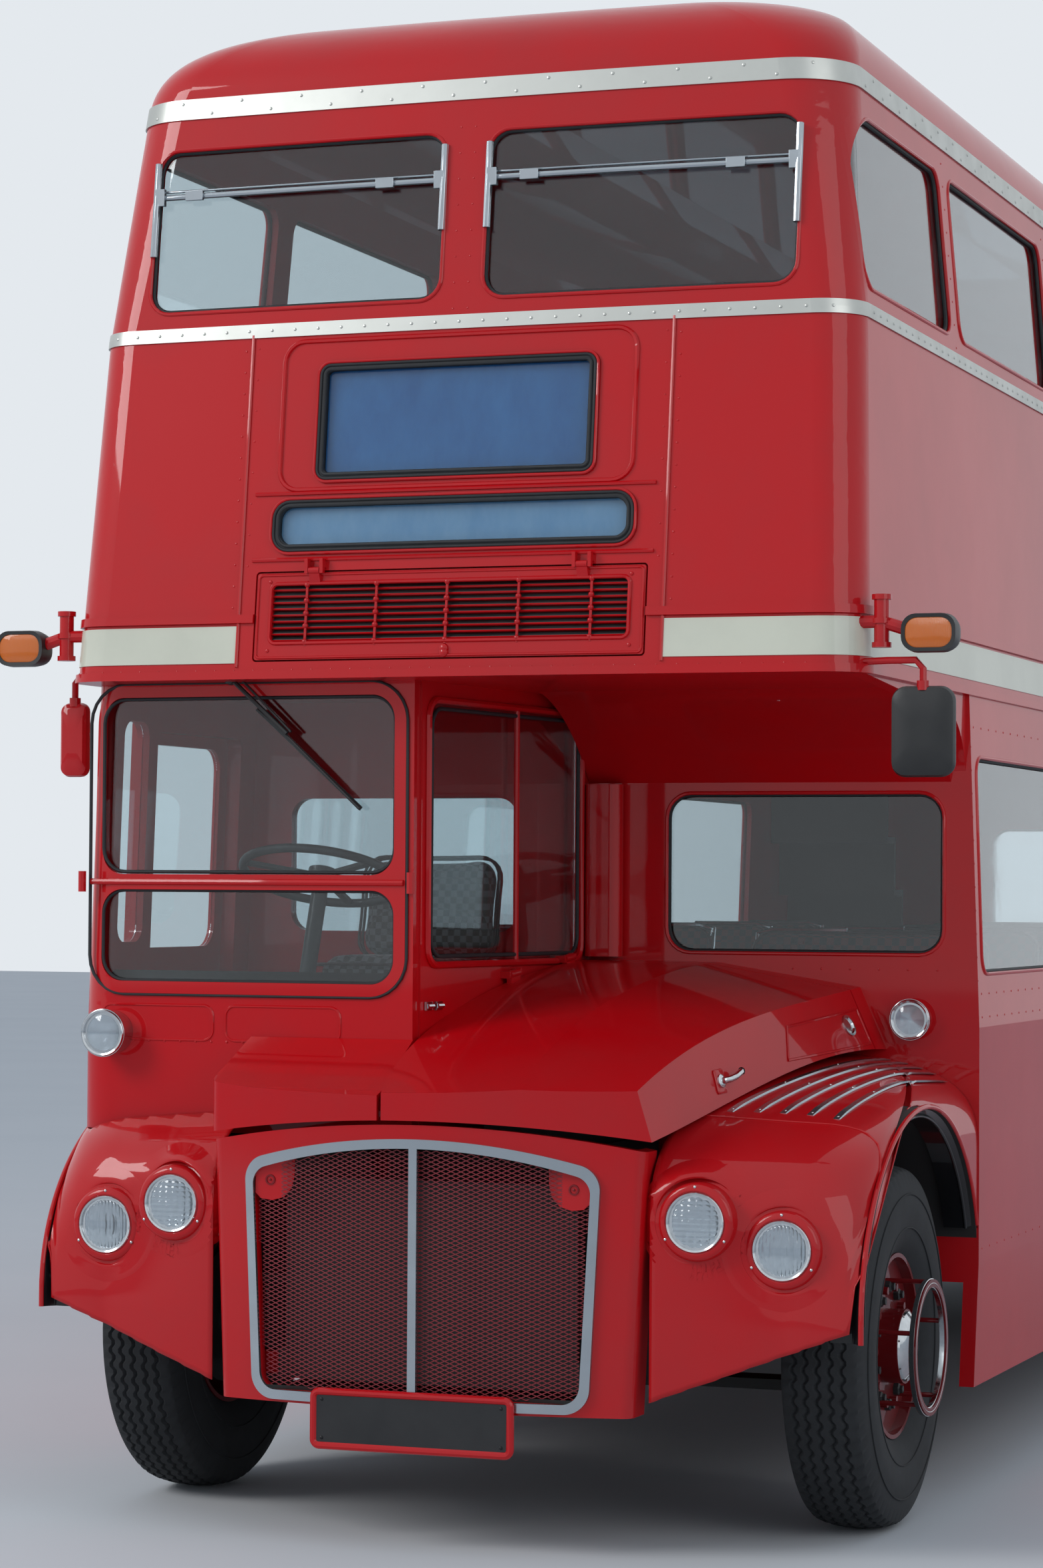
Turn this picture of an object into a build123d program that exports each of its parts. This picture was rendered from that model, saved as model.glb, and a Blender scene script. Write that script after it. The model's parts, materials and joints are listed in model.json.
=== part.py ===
from build123d import *

import math
import os

# A half cab double decker bus with twin headlamps and folding platform doors.
# X runs to the nearside, Y to the rear and Z up. The origin is on the ground
# under the middle of the bus. Places along the bus are given as distances
# behind the front number plate, and at() turns them into Y.

# Overall sizes
length = 8395.0
body_width = 2438.0
height = 4382.0
wheelbase = 5131.0
front_overhang = 920.0

# Walls
wall = 45.0
roof_wall = 35.0
glass = 6.0
glass_inset = 18.0
bead = 10.0
trim = 5.0
seat_gap = 0.3
band_tall = 62.0

# Heights of the body lines
skirt_z = 330.0
hip_z = 700.0
sill_z = 1400.0
lip_z = 2395.0
waist_z = 3402.0
gutter_z = 4107.0

# How far each line stands in from the full width
skirt_in = 14.0
lip_in = 34.0
waist_in = 73.0
gutter_in = 136.0

# Front and rear faces at those lines
cab_front = 361.0
lip_front = 212.0
waist_front = 324.0
gutter_front = 404.0
rear_face = 25.0
waist_rear_in = 20.0
gutter_rear_in = 80.0
corner_radius = 130.0
gutter_corner = 190.0
front_bow = 24.0

# Saloon bays
bulkhead = 1518.0
bay_pitch = 1407.0
bay_count = 4
pillar = 120.0
lower_sill = 1560.0
lower_head = 2210.0
upper_sill = 3470.0
upper_head = 3965.0
window_corner = 60.0

# Floors
lower_floor_z = 700.0
floor_depth = 60.0
platform_z = 370.0
upper_floor_z = 2540.0
cab_floor_z = 1150.0
cab_floor_depth = 50.0

# Cab
cab_wall_front_x = -143.0
cab_wall_rear_x = -18.0
cab_wall = 35.0
windscreen_left = -1163.0
windscreen_right = -165.0
windscreen_low = 1497.0
windscreen_top = 2390.0
windscreen_bar_z = 1820.0
wheel_centre = (-575.0, 720.0, 1840.0)
steering_wheel_radius = 235.0
column_lean = 20.0

# Nose
cowl_half_top = 640.0
cowl_half_low = 604.0
cowl_low = 385.0
cowl_shoulder = 1088.0
cowl_crown = 1160.0
cowl_front = 20.0
cowl_back = 200.0
cowl_wall = 30.0
cowl_bow_radius = 2580.0
grille_half_top = 523.0
grille_half_low = 492.0
grille_low = 393.0
grille_shoulder = 1047.0
grille_crown = 1122.0
grille_border = 26.0
lip_panel_front = 8.0
nose_skin = 22.0
mesh_inset = 12.0
lip_shoulder_low = 1112.0
lip_crown_low = 1172.0

plate_half = 298.0
plate_low = 268.0
plate_high = 437.0

# Wheels
tyre_radius = 515.0
tyre_section = 250.0
rim_radius = 262.0
front_track_half = 1030.0
rear_outer_x = 1060.0
twin_spacing = 280.0
kingpin_x = 915.0
kingpin_radius = 20.0
stub_radius = 35.0
axle_tube_radius = 60.0
stud_circle = 335.0
stud_radius = 11.0
stud_count = 10
running_fit = 0.05
beam_out = 450.0

# Wheel arch, an ellipse above the axle
arch_centre = 885.0
arch_base_z = 644.0
arch_half = 660.0
arch_rise = 552.0
rear_arch_radius = 590.0

# Ventilation flap and blinds in the upper front panel
flap_half = 581.0
flap_low = 2449.0
flap_high = 2697.0
flap_thick = 25.0
flap_gap = 5.0
via_half = 424.0
via_low = 2953.0
via_high = 3304.0
destination_half = 549.0
destination_low = 2749.0
destination_high = 2913.0

# Platform doors
doorway_front = 7200.0
leaf_width = 228.0
leaf_thick = 30.0
leaf_gap = 6.0
middle_gap = 28.0
doorway_low = 370.0
doorway_high = 2250.0
door_skin_in = 6.0
leaf_pin = 6.0

half_width = body_width / 2
front_y = -length / 2
rear_end = length - rear_face
front_axle = front_overhang
rear_axle_d = front_overhang + wheelbase
bay_end = bulkhead + bay_count * bay_pitch
doorway_rear = doorway_front + 4 * leaf_width + 2 * leaf_gap + middle_gap

os.makedirs("parts", exist_ok=True)

# Body outlines, columns: height, half width, front, rear, corner radius
lower_levels = [
    (skirt_z, half_width - skirt_in, cab_front, rear_end, corner_radius),
    (hip_z, half_width, cab_front, rear_end, corner_radius),
    (sill_z, half_width, cab_front, rear_end, corner_radius),
    (lip_z, half_width - lip_in, cab_front, rear_end, corner_radius),
]
upper_levels = [
    (lip_z, half_width - lip_in, lip_front, rear_end, corner_radius),
    (waist_z, half_width - waist_in, waist_front, rear_end - waist_rear_in, corner_radius),
    (gutter_z, half_width - gutter_in, gutter_front, rear_end - gutter_rear_in, gutter_corner),
]
# Roof dome, columns: rise above the gutter, inward, front back, rear in, corner radius
roof_steps = [
    (0.0, 0.0, 0.0, 0.0, 190.0),
    (100.0, 28.0, 32.0, 28.0, 230.0),
    (196.0, 126.0, 145.0, 140.0, 300.0),
    (256.0, 326.0, 400.0, 390.0, 380.0),
    (height - gutter_z, 666.0, 900.0, 890.0, 380.0),
]


def at(distance):
    return front_y + distance


def block(x_low, x_high, d_low, d_high, z_low, z_high, mode=Mode.ADD):
    centre = ((x_low + x_high) / 2, at((d_low + d_high) / 2), (z_low + z_high) / 2)
    with Locations(centre):
        Box(x_high - x_low, d_high - d_low, z_high - z_low, mode=mode)


def across_plane(distance):
    # Upright plane across the bus, drawn in X and Z; a negative extrude goes to the rear
    return Plane.XZ.offset(-at(distance))


def plan_outline(z, half, front, rear, corner, bow=front_bow):
    with BuildSketch(Plane.XY.offset(z)) as outline:
        with BuildLine():
            nose = ThreePointArc((-half, at(front + bow)), (0, at(front)), (half, at(front + bow)))
            tail = ThreePointArc((half, at(rear - bow)), (0, at(rear)), (-half, at(rear - bow)))
            Line(nose @ 1, tail @ 0)
            Line(tail @ 1, nose @ 0)
        make_face()
        fillet(outline.vertices(), radius=corner)
    return outline.sketch


def level_at(levels, z):
    pairs = list(zip(levels, levels[1:]))
    low, high = next((p for p in pairs if z <= p[1][0]), pairs[-1])
    share = (z - low[0]) / (high[0] - low[0])
    return [a + share * (b - a) for a, b in zip(low, high)]


def body_solid(levels, inset, z_low, z_high, mode=Mode.ADD):
    between = [row[0] for row in levels if z_low + 1 < row[0] < z_high - 1]
    outlines = []
    for z in [z_low] + between + [z_high]:
        _, half, front, rear, corner = level_at(levels, z)
        outlines.append(plan_outline(z, half - inset, front + inset, rear - inset, corner - inset))
    loft(sections=outlines, ruled=True, mode=mode)


def openings(rows, plane, depth, mode=Mode.SUBTRACT):
    # Columns: place across the sketch, centre height, width, height, corner radius
    with BuildSketch(plane) as cuts:
        for across, up, wide, tall, corner in rows:
            with Locations((across, up)):
                RectangleRounded(wide, tall, corner)
    extrude(to_extrude=cuts.sketch, amount=depth, both=True, mode=mode)


def side_rows(spans, low, high, corner=window_corner):
    # Columns of spans: front edge and rear edge, as distances
    return [(at((a + b) / 2), (low + high) / 2, b - a, high - low, corner) for a, b in spans]


def finish(builder, name):
    builder.part.label = name
    export_step(builder.part, "parts/" + name + ".step")


def wall_x(distance):
    # Outer face of the cab's inner wall, which slants outwards to the rear
    share = (distance - cab_front) / (bulkhead - cab_front)
    return cab_wall_front_x + share * (cab_wall_rear_x - cab_wall_front_x)


bay_spans = [
    (bulkhead + i * bay_pitch + pillar / 2, bulkhead + (i + 1) * bay_pitch - pillar / 2)
    for i in range(bay_count)
]
front_side_span = (480.0, bulkhead - pillar / 2)
rear_side_span = (bay_end + pillar / 2, rear_end - 330.0)
upper_side_windows = side_rows([front_side_span] + bay_spans + [rear_side_span], upper_sill, upper_head)
lower_side_windows = side_rows(bay_spans, lower_sill, lower_head)
# Columns: X, centre height, width, height, corner radius
front_windows = [
    (side * 520.0, (3468.0 + 3952.0) / 2, 912.0, 3952.0 - 3468.0, 65.0) for side in (-1, 1)
]
rear_upper_windows = [(0.0, 3700.0, 1060.0, 500.0, 90.0)]
rear_lower_windows = [(180.0, 1830.0, 1000.0, 560.0, 80.0)]
bulkhead_windows = [(673.0, 1859.0, 870.0, 486.0, 75.0)]
cab_back_windows = [(-640.0, 1880.0, 760.0, 420.0, 60.0)]

# Shells that the panels are cut from
with BuildPart() as upper_shell:
    body_solid(upper_levels, 0, lip_z, gutter_z)
    for z in (lip_z, 2556.0):
        body_solid(upper_levels, -bead, z, z + 24.0)
    body_solid(upper_levels, wall, lip_z - 5, gutter_z + 5, Mode.SUBTRACT)

with BuildPart() as lower_shell:
    body_solid(lower_levels, 0, skirt_z, lip_z)
    body_solid(lower_levels, wall, skirt_z - 5, lip_z + 5, Mode.SUBTRACT)

front_split = 460.0
rear_split = rear_end - 190.0
far = 9000.0
pocket_depth = 28.0
cream_low = 2441.0
cream_high = 2547.0
canopy_drop_start = 1050.0
canopy_drop_z = 2135.0
valance_low_z = 2167.0
stair_inner_x = -540.0
stair_front = 7160.0
stair_rear = 8250.0
wheel_box_x = 630.0
wheel_box_top = 1090.0
seat_x = -500.0

# Pockets in the upper front panel for the flap and the two blinds
flap_row = (0.0, (flap_low + flap_high) / 2, 2 * (flap_half + flap_gap),
            flap_high - flap_low + 2 * flap_gap, 12.0)
via_row = (0.0, (via_low + via_high) / 2, 2 * via_half, via_high - via_low, 40.0)
destination_row = (0.0, (destination_low + destination_high) / 2, 2 * destination_half,
                   destination_high - destination_low, 60.0)
with BuildPart() as pockets:
    body_solid(upper_levels, -30, lip_z + 1, waist_z)
    body_solid(upper_levels, pocket_depth, lip_z, waist_z + 1, Mode.SUBTRACT)
    openings([flap_row, via_row, destination_row], across_plane(lip_front), 400, Mode.INTERSECT)

def face_d(x, z):
    # Distance of the upper front face at a place on it
    _, half, front, _, _ = level_at(upper_levels, z)
    return front + front_bow * (x / half) ** 2


# Ventilation flap with its louvres and the rods in front of them
flap_slope = (waist_front - lip_front) / (waist_z - lip_z)
flap_hinge_x = 400.0
flap_hinge_z = flap_high + 4
flap_hinge_out = 14.0
flap_pin_radius = 5.0
louvre_half = 532.0
louvre_low = 2500.0
louvre_high = 2662.0
louvre_count = 9
rod_count = 5
louvre_pitch = (louvre_high - louvre_low) / louvre_count

# Hinge brackets of the flap, on the panel above it
with BuildPart() as flap_brackets:
    for x in (-flap_hinge_x, flap_hinge_x):
        pin_d = face_d(x, flap_hinge_z) - flap_hinge_out
        for edge in (-28, 18):
            block(x + edge, x + edge + 10, pin_d - 8, pin_d + flap_hinge_out + 20,
                  flap_hinge_z - 8, flap_hinge_z + 34)
            block(x + edge, x + edge + 10, pin_d + flap_hinge_out - 6, pin_d + flap_hinge_out + 30,
                  flap_hinge_z - 8, flap_hinge_z + 9, Mode.SUBTRACT)
        with BuildSketch(Plane.YZ.offset(x - 24)) as flap_pin:
            with Locations((at(pin_d), flap_hinge_z)):
                Circle(flap_pin_radius)
        extrude(to_extrude=flap_pin.sketch, amount=48)
    add(upper_shell.part, mode=Mode.SUBTRACT)

with BuildPart() as upper_front_panel:
    add(upper_shell.part)
    block(-far, far, 0, front_split, 0, far, Mode.INTERSECT)
    openings(front_windows, across_plane(lip_front), 400)
    add(pockets.part, mode=Mode.SUBTRACT)
    add(flap_brackets.part)
finish(upper_front_panel, "upper_front_panel")

# The foremost side window sweeps back at its top front corner
light_sweep_z = 3720.0
light_sweep_back = 170.0
with BuildSketch(Plane.YZ) as light_sweep:
    with BuildLine():
        sweep_front = at(front_side_span[0])
        ThreePointArc((sweep_front, light_sweep_z), (sweep_front + 45, upper_head - 66),
                      (sweep_front + light_sweep_back, upper_head))
        Polyline((sweep_front + light_sweep_back, upper_head),
                 (sweep_front + light_sweep_back, upper_head + 8), (sweep_front - 8, upper_head + 8),
                 (sweep_front - 8, light_sweep_z), (sweep_front, light_sweep_z))
    make_face()
with BuildPart() as light_corner:
    add(upper_shell.part)
    extrude(to_extrude=light_sweep.sketch, amount=far, both=True, mode=Mode.INTERSECT)

# Upper sides, one window to a bay, with a shorter one at each end
for name, side in (("upper_side_offside", -1), ("upper_side_nearside", 1)):
    with BuildPart() as upper_side:
        add(upper_shell.part)
        openings(upper_side_windows, Plane.YZ, far)
        add(light_corner.part)
        block(min(0, side * far), max(0, side * far), front_split, rear_split, 0, far, Mode.INTERSECT)
    finish(upper_side, name)

with BuildPart() as upper_rear_panel:
    add(upper_shell.part)
    block(-far, far, rear_split, far, 0, far, Mode.INTERSECT)
    openings(rear_upper_windows, across_plane(rear_end), 300)
finish(upper_rear_panel, "upper_rear_panel")

# Roof dome over both ends, hollow
with BuildPart() as roof:
    for drop, inset, mode in ((0, 0, Mode.ADD), (roof_wall, roof_wall, Mode.SUBTRACT)):
        domes = []
        for rise, inward, front_back, rear_in, corner in roof_steps:
            z = gutter_z + rise - (drop if rise > 0 else 0.5 if drop else 0)
            domes.append(plan_outline(z, half_width - gutter_in - inward - inset,
                                      gutter_front + front_back + inset,
                                      rear_end - gutter_rear_in - rear_in - inset, corner - inset))
        loft(sections=domes, mode=mode)
finish(roof, "roof")

# Aluminium bands under the gutter and round the waist, cream band above the lip
with BuildPart() as trim_bands:
    for band_low, band_high in ((gutter_z - band_tall, gutter_z - 1), (waist_z - 20, waist_z + 20)):
        body_solid(upper_levels, -trim, band_low, band_high)
        body_solid(upper_levels, -seat_gap, band_low - 2, band_high + 2, Mode.SUBTRACT)
finish(trim_bands, "trim_bands")

with BuildPart() as cream_bands:
    body_solid(upper_levels, -3, cream_low, cream_high)
    body_solid(upper_levels, -seat_gap, cream_low - 2, cream_high + 2, Mode.SUBTRACT)
    block(-634, 634, 0, 1000, 0, far, Mode.SUBTRACT)
finish(cream_bands, "cream_bands")

# Lower sides, the offside one running forward over the wheel arch to the cab
cab_corner_split = cab_front + corner_radius + 20
cab_door_span = (790.0, 1400.0)
cab_light_span = (560.0, 730.0)
door_low = 1300.0
door_high = 2300.0


def arch_outline(grow=0.0):
    # Front wheel arch seen from the side
    with BuildSketch(Plane.YZ) as arch:
        with Locations((at(arch_centre), arch_base_z)):
            Ellipse(arch_half + grow, arch_rise + grow)
            with Locations((0, -arch_base_z / 2)):
                Rectangle(2 * (arch_half + grow), arch_base_z)
    return arch.sketch


with BuildPart() as lower_side_offside:
    add(lower_shell.part)
    block(-far, 0, cab_corner_split, rear_split, 0, far, Mode.INTERSECT)
    block(-far, 0, 0, bulkhead, 0, cab_floor_z - cab_floor_depth, Mode.SUBTRACT)
    openings(lower_side_windows, Plane.YZ, far)
    openings(side_rows([cab_light_span], 1640, door_high, 50), Plane.YZ, far)
    openings(side_rows([cab_door_span], door_low + 25, door_high - 25, 30), Plane.YZ, far)
    extrude(to_extrude=arch_outline(), amount=far, both=True, mode=Mode.SUBTRACT)
    with BuildSketch(Plane.YZ) as rear_arch:
        with Locations((at(rear_axle_d), tyre_radius)):
            Circle(rear_arch_radius)
    extrude(to_extrude=rear_arch.sketch, amount=far, both=True, mode=Mode.SUBTRACT)
    block(-half_width - 40, -half_width + 8, cab_door_span[0] - 30, 2 * cab_door_span[1]
          - cab_door_span[0] + 40, door_low - 32, door_low - 0.5)
finish(lower_side_offside, "lower_side_offside")

with BuildPart() as lower_side_nearside:
    add(lower_shell.part)
    block(0, far, bulkhead, rear_split, 0, far, Mode.INTERSECT)
    openings(lower_side_windows, Plane.YZ, far)
    extrude(to_extrude=rear_arch.sketch, amount=far, both=True, mode=Mode.SUBTRACT)
    block(0, far, doorway_front - 6, doorway_rear + 6, skirt_z - 10, doorway_high, Mode.SUBTRACT)
finish(lower_side_nearside, "lower_side_nearside")

with BuildPart() as lower_rear_wall:
    add(lower_shell.part)
    block(-far, far, rear_split, far, 0, far, Mode.INTERSECT)
    openings(rear_lower_windows, across_plane(rear_end), 300)
finish(lower_rear_wall, "lower_rear_wall")

# Cab front with the windscreen opening
with BuildPart() as cab_front_panel:
    add(lower_shell.part)
    block(-far, cab_wall_front_x, 0, cab_corner_split, cab_floor_z - cab_floor_depth, far,
          Mode.INTERSECT)
    openings([((windscreen_left + windscreen_right) / 2, (windscreen_low + windscreen_top) / 2,
               windscreen_right - windscreen_left, windscreen_top - windscreen_low, 110.0)],
             across_plane(cab_front), 200)
finish(cab_front_panel, "cab_front")

# Windscreen frame: rubber, red frames of both halves and the bar between
frame_row = ((windscreen_left + windscreen_right) / 2, (windscreen_low + windscreen_top) / 2,
             windscreen_right - windscreen_left, windscreen_top - windscreen_low, 110.0)
frame_mid = (windscreen_low + windscreen_top) / 2
pane_wide = windscreen_right - windscreen_left - 70
with BuildPart() as windscreen_frame:
    body_solid(lower_levels, -8, windscreen_low - 20, lip_z)
    body_solid(lower_levels, 30, windscreen_low - 25, lip_z + 5, Mode.SUBTRACT)
    openings([frame_row], across_plane(cab_front), 120, Mode.INTERSECT)
    upper_pane = (frame_row[0], (windscreen_bar_z + 22 + windscreen_top - 35) / 2, pane_wide,
                  windscreen_top - 35 - windscreen_bar_z - 22, 70.0)
    lower_pane = (frame_row[0], (windscreen_low + 35 + windscreen_bar_z - 22) / 2, pane_wide,
                  windscreen_bar_z - 22 - windscreen_low - 35, 70.0)
    openings([upper_pane, lower_pane], across_plane(cab_front), 200)
finish(windscreen_frame, "windscreen_frame")

# Inner plan of the lower saloon and cab, used to fit floors and partitions
with BuildPart() as lower_inside:
    body_solid(lower_levels, wall, skirt_z, lip_z)
with BuildPart() as upper_inside:
    body_solid(upper_levels, wall, lip_z, gutter_z)

# Bulkhead between the cab or bonnet and the lower saloon, with its pilaster
with BuildPart() as bulkhead_panel:
    add(lower_inside.part)
    block(-far, far, bulkhead, bulkhead + wall, lower_floor_z - floor_depth, far, Mode.INTERSECT)
    openings(bulkhead_windows + cab_back_windows, across_plane(bulkhead), 200)
    with BuildSketch(Plane.XY.offset(1600)) as pilaster:
        with Locations((cab_wall_rear_x + 62, at(bulkhead) - 34)):
            RectangleRounded(118, 68.0, 30)
    extrude(to_extrude=pilaster.sketch, amount=530)
finish(bulkhead_panel, "bulkhead")

# The lid's hinge line lies above its left edge and rises with it to the rear
hinge_rise = (1590.0 - 1522.0) / (bulkhead - 900.0)
hinge_start = Vector(wall_x(900) + 24, at(900), 1550)
hinge_way = Vector(wall_x(bulkhead) - wall_x(900), bulkhead - 900, 1590.0 - 1522.0).normalized()
lid_hinge_places = [50.0, 430.0]
lid_pin_radius = 6.0
lid_rear = 1440.0


def lid_hinge_plane(along):
    return Plane(origin=hinge_start + hinge_way * along, x_dir=(1, 0, 0), z_dir=hinge_way)


# Cab inner wall beside the bonnet, slanting outwards to the rear
slant = math.degrees(math.atan2(cab_wall_rear_x - cab_wall_front_x, bulkhead - cab_front))
wall_plane = Plane(origin=(cab_wall_front_x, at(cab_front), 0), x_dir=Vector(0, 1, 0).rotate(Axis.Z, -slant),
                   z_dir=Vector(1, 0, 0).rotate(Axis.Z, -slant))
wall_start = cab_front + wall + 1.2
wall_run = math.hypot(cab_wall_rear_x - cab_wall_front_x, bulkhead - cab_front)
with BuildPart() as cab_inner_wall:
    with BuildSketch(Plane.XY.offset(cab_floor_z - cab_floor_depth)) as wall_plan:
        with BuildLine():
            Polyline((wall_x(wall_start), at(wall_start)), (wall_x(bulkhead), at(bulkhead)),
                     (wall_x(bulkhead) - cab_wall, at(bulkhead)),
                     (wall_x(wall_start) - cab_wall, at(wall_start)), close=True)
        make_face()
    extrude(to_extrude=wall_plan.sketch, amount=lip_z - cab_floor_z + cab_floor_depth)
    with BuildSketch(wall_plane) as side_light:
        with Locations((wall_run / 2 + 10, 1966)):
            RectangleRounded(wall_run - 150, 750, 50)
    extrude(to_extrude=side_light.sketch, amount=120, both=True, mode=Mode.SUBTRACT)
    for along in lid_hinge_places:
        for end in (-41, 31):
            with BuildSketch(lid_hinge_plane(along + end)) as lug:
                with Locations((-9, 0)):
                    Rectangle(34, 20)
            extrude(to_extrude=lug.sketch, amount=10)
        with BuildSketch(lid_hinge_plane(along - 36)) as lid_pin:
            Circle(lid_pin_radius)
        extrude(to_extrude=lid_pin.sketch, amount=72)
finish(cab_inner_wall, "cab_inner_wall")

# Canopy over the bonnet and cab, dropping in a curve to the bulkhead
with BuildPart() as canopy:
    add(upper_inside.part)
    block(-far, far, 0, bulkhead, lip_z, upper_floor_z - floor_depth, Mode.INTERSECT)
    with BuildSketch(Plane.YZ.offset(cab_wall_rear_x)) as drop:
        with BuildLine():
            Polyline((at(canopy_drop_start), lip_z), (at(bulkhead), lip_z), (at(bulkhead), canopy_drop_z))
            ThreePointArc((at(bulkhead), canopy_drop_z), (at(bulkhead - 130), canopy_drop_z + 120),
                          (at(canopy_drop_start), lip_z))
        make_face()
    extrude(to_extrude=drop.sketch, amount=half_width - wall - lip_in - cab_wall_rear_x - 10)
    with BuildSketch(Plane.YZ.offset(half_width - wall - lip_in - 10)) as valance:
        with BuildLine():
            Polyline((at(cab_front), lip_z), (at(bulkhead), lip_z), (at(bulkhead), valance_low_z))
            ThreePointArc((at(bulkhead), valance_low_z), (at(bulkhead - 70), valance_low_z + 110),
                          (at(bulkhead - 240), lip_z - 60))
            Line((at(bulkhead - 240), lip_z - 60), (at(cab_front), lip_z))
        make_face()
    extrude(to_extrude=valance.sketch, amount=wall)
finish(canopy, "canopy")

# Floors: upper deck with its stair opening, lower saloon with wheel boxes and platform
with BuildPart() as upper_floor:
    add(upper_inside.part)
    block(-far, far, 0, far, upper_floor_z - floor_depth, upper_floor_z, Mode.INTERSECT)
    block(-far, stair_inner_x, stair_front, stair_rear, 0, far, Mode.SUBTRACT)
finish(upper_floor, "upper_floor")

def inside_slab(shape, x_low, x_high, d_low, d_high, z_low, z_high):
    # The part of a saloon's inner space that lies in a box, so that it meets every wall
    with BuildPart() as slab:
        add(shape.part)
        block(x_low, x_high, d_low, d_high, z_low, z_high, Mode.INTERSECT)
    return slab.part


box_front = rear_axle_d - rear_arch_radius
box_rear = rear_axle_d + rear_arch_radius
floor_under = lower_floor_z - floor_depth
with BuildPart() as lower_floor:
    add(inside_slab(lower_inside, -far, far, bulkhead + wall, bay_end, floor_under, lower_floor_z))
    add(inside_slab(lower_inside, -far, far, bay_end - 40, far, platform_z - 40, platform_z))
    add(inside_slab(lower_inside, -far, far, bay_end - 40, bay_end, platform_z, lower_floor_z))
    for side in (-1, 1):
        low, high = sorted((side * (wheel_box_x - 20), side * far))
        add(inside_slab(lower_inside, low, high, box_front - 20, box_rear + 20, floor_under,
                        wheel_box_top))
        low, high = sorted((side * wheel_box_x, side * far))
        block(low, high, box_front, box_rear, floor_under - 5, wheel_box_top - 20, Mode.SUBTRACT)
finish(lower_floor, "lower_floor")

# Cab floor with the dash panel and the steering column
column = Vector(0, math.sin(math.radians(column_lean)), math.cos(math.radians(column_lean)))
hub = Vector(wheel_centre[0], at(wheel_centre[1]), wheel_centre[2])
column_plane = Plane(origin=hub - column * 22, x_dir=(1, 0, 0), z_dir=-column)
cab_floor_under = cab_floor_z - cab_floor_depth
with BuildPart() as cab_floor:
    with BuildSketch(Plane.YZ.offset(-half_width)) as dash:
        with BuildLine():
            Polyline((at(cab_front), cab_floor_z), (at(cab_front + 170), cab_floor_z),
                     (at(cab_front + 230), 1480), (at(cab_front + 190), 1560),
                     (at(cab_front + wall + 12), 1470), (at(cab_front), 1470), close=True)
        make_face()
    extrude(to_extrude=dash.sketch, amount=half_width + cab_wall_front_x - cab_wall - 5)
    add(lower_inside.part, mode=Mode.INTERSECT)
    add(inside_slab(lower_inside, -far, cab_wall_front_x - cab_wall - 1, cab_front + wall, bulkhead,
                    cab_floor_under, cab_floor_z))
    with BuildSketch(column_plane) as tube:
        Circle(24)
    extrude(to_extrude=tube.sketch, amount=760)
    with BuildSketch(column_plane) as spigot:
        Circle(12)
    extrude(to_extrude=spigot.sketch, amount=-34)
    block(-far, far, 0, bulkhead, 0, cab_floor_under, Mode.SUBTRACT)
finish(cab_floor, "cab_floor")

with BuildPart() as steering_wheel:
    wheel_plane = Plane(origin=hub, x_dir=(1, 0, 0), z_dir=column)
    with BuildSketch(Plane(origin=hub, x_dir=(1, 0, 0), z_dir=wheel_plane.y_dir)) as rim:
        with Locations((steering_wheel_radius, 0)):
            Circle(13)
    revolve(profiles=rim.sketch, axis=Axis(hub, column))
    with BuildSketch(wheel_plane.offset(-20)) as hub_ring:
        Circle(42)
        Circle(12 + running_fit, mode=Mode.SUBTRACT)
    extrude(to_extrude=hub_ring.sketch, amount=36)
    with BuildSketch(wheel_plane.offset(-6)) as spokes:
        for turn in (90, 210, 330):
            with Locations(Rot(0, 0, turn) * Pos((steering_wheel_radius + 42) / 2 - 4, 0)):
                Rectangle(steering_wheel_radius - 42, 22)
    extrude(to_extrude=spokes.sketch, amount=12)
    with BuildSketch(wheel_plane.offset(14)) as cap:
        Circle(42)
    extrude(to_extrude=cap.sketch, amount=6)
finish(steering_wheel, "steering_wheel")

with BuildPart() as driver_seat:
    with BuildSketch(Plane.YZ.offset(seat_x - 250)) as seat_side:
        with BuildLine():
            Polyline((at(1000), 1500), (at(1000), 1590), (at(1330), 1570), (at(1400), 1925),
                     (at(1470), 1915), (at(1440), 1480), (at(1000), 1500))
        make_face()
        fillet(seat_side.vertices().group_by(Axis.Y)[0], radius=30)
    extrude(to_extrude=seat_side.sketch, amount=500)
    block(seat_x - 160, seat_x + 160, 1060, 1400, cab_floor_z, 1495)
finish(driver_seat, "driver_seat")

# Nose: bowed front shared by the cowl, the lip panels and the grille
def bow_prism(front, inset, z_low, z_high, half_low, half_high, back, mode=Mode.ADD):
    outlines = []
    for z, half in ((z_low, half_low), (z_high, half_high)):
        reach = half - inset
        centre = front + inset
        sag = cowl_bow_radius - math.sqrt(cowl_bow_radius ** 2 - reach ** 2)
        with BuildSketch(Plane.XY.offset(z)) as outline:
            with BuildLine():
                ThreePointArc((-reach, at(centre + sag)), (0, at(centre)), (reach, at(centre + sag)))
                Polyline((reach, at(centre + sag)), (reach, at(back)), (-reach, at(back)),
                         (-reach, at(centre + sag)))
            make_face()
            fillet(outline.vertices().group_by(Axis.Y)[0], radius=max(36 - inset, 8))
        outlines.append(outline.sketch)
    loft(sections=outlines, ruled=True, mode=mode)


def arched(half_low, half_high, low, shoulder, crown, corner=0.0):
    # Front view outline with an arched top, on the plane of the number plate
    with BuildSketch(across_plane(0)) as outline:
        with BuildLine():
            Polyline((half_high, shoulder), (half_low, low), (-half_low, low), (-half_high, shoulder))
            ThreePointArc((-half_high, shoulder), (0, crown), (half_high, shoulder))
        make_face()
        if corner:
            fillet(outline.vertices(), radius=corner)
    return outline.sketch


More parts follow.
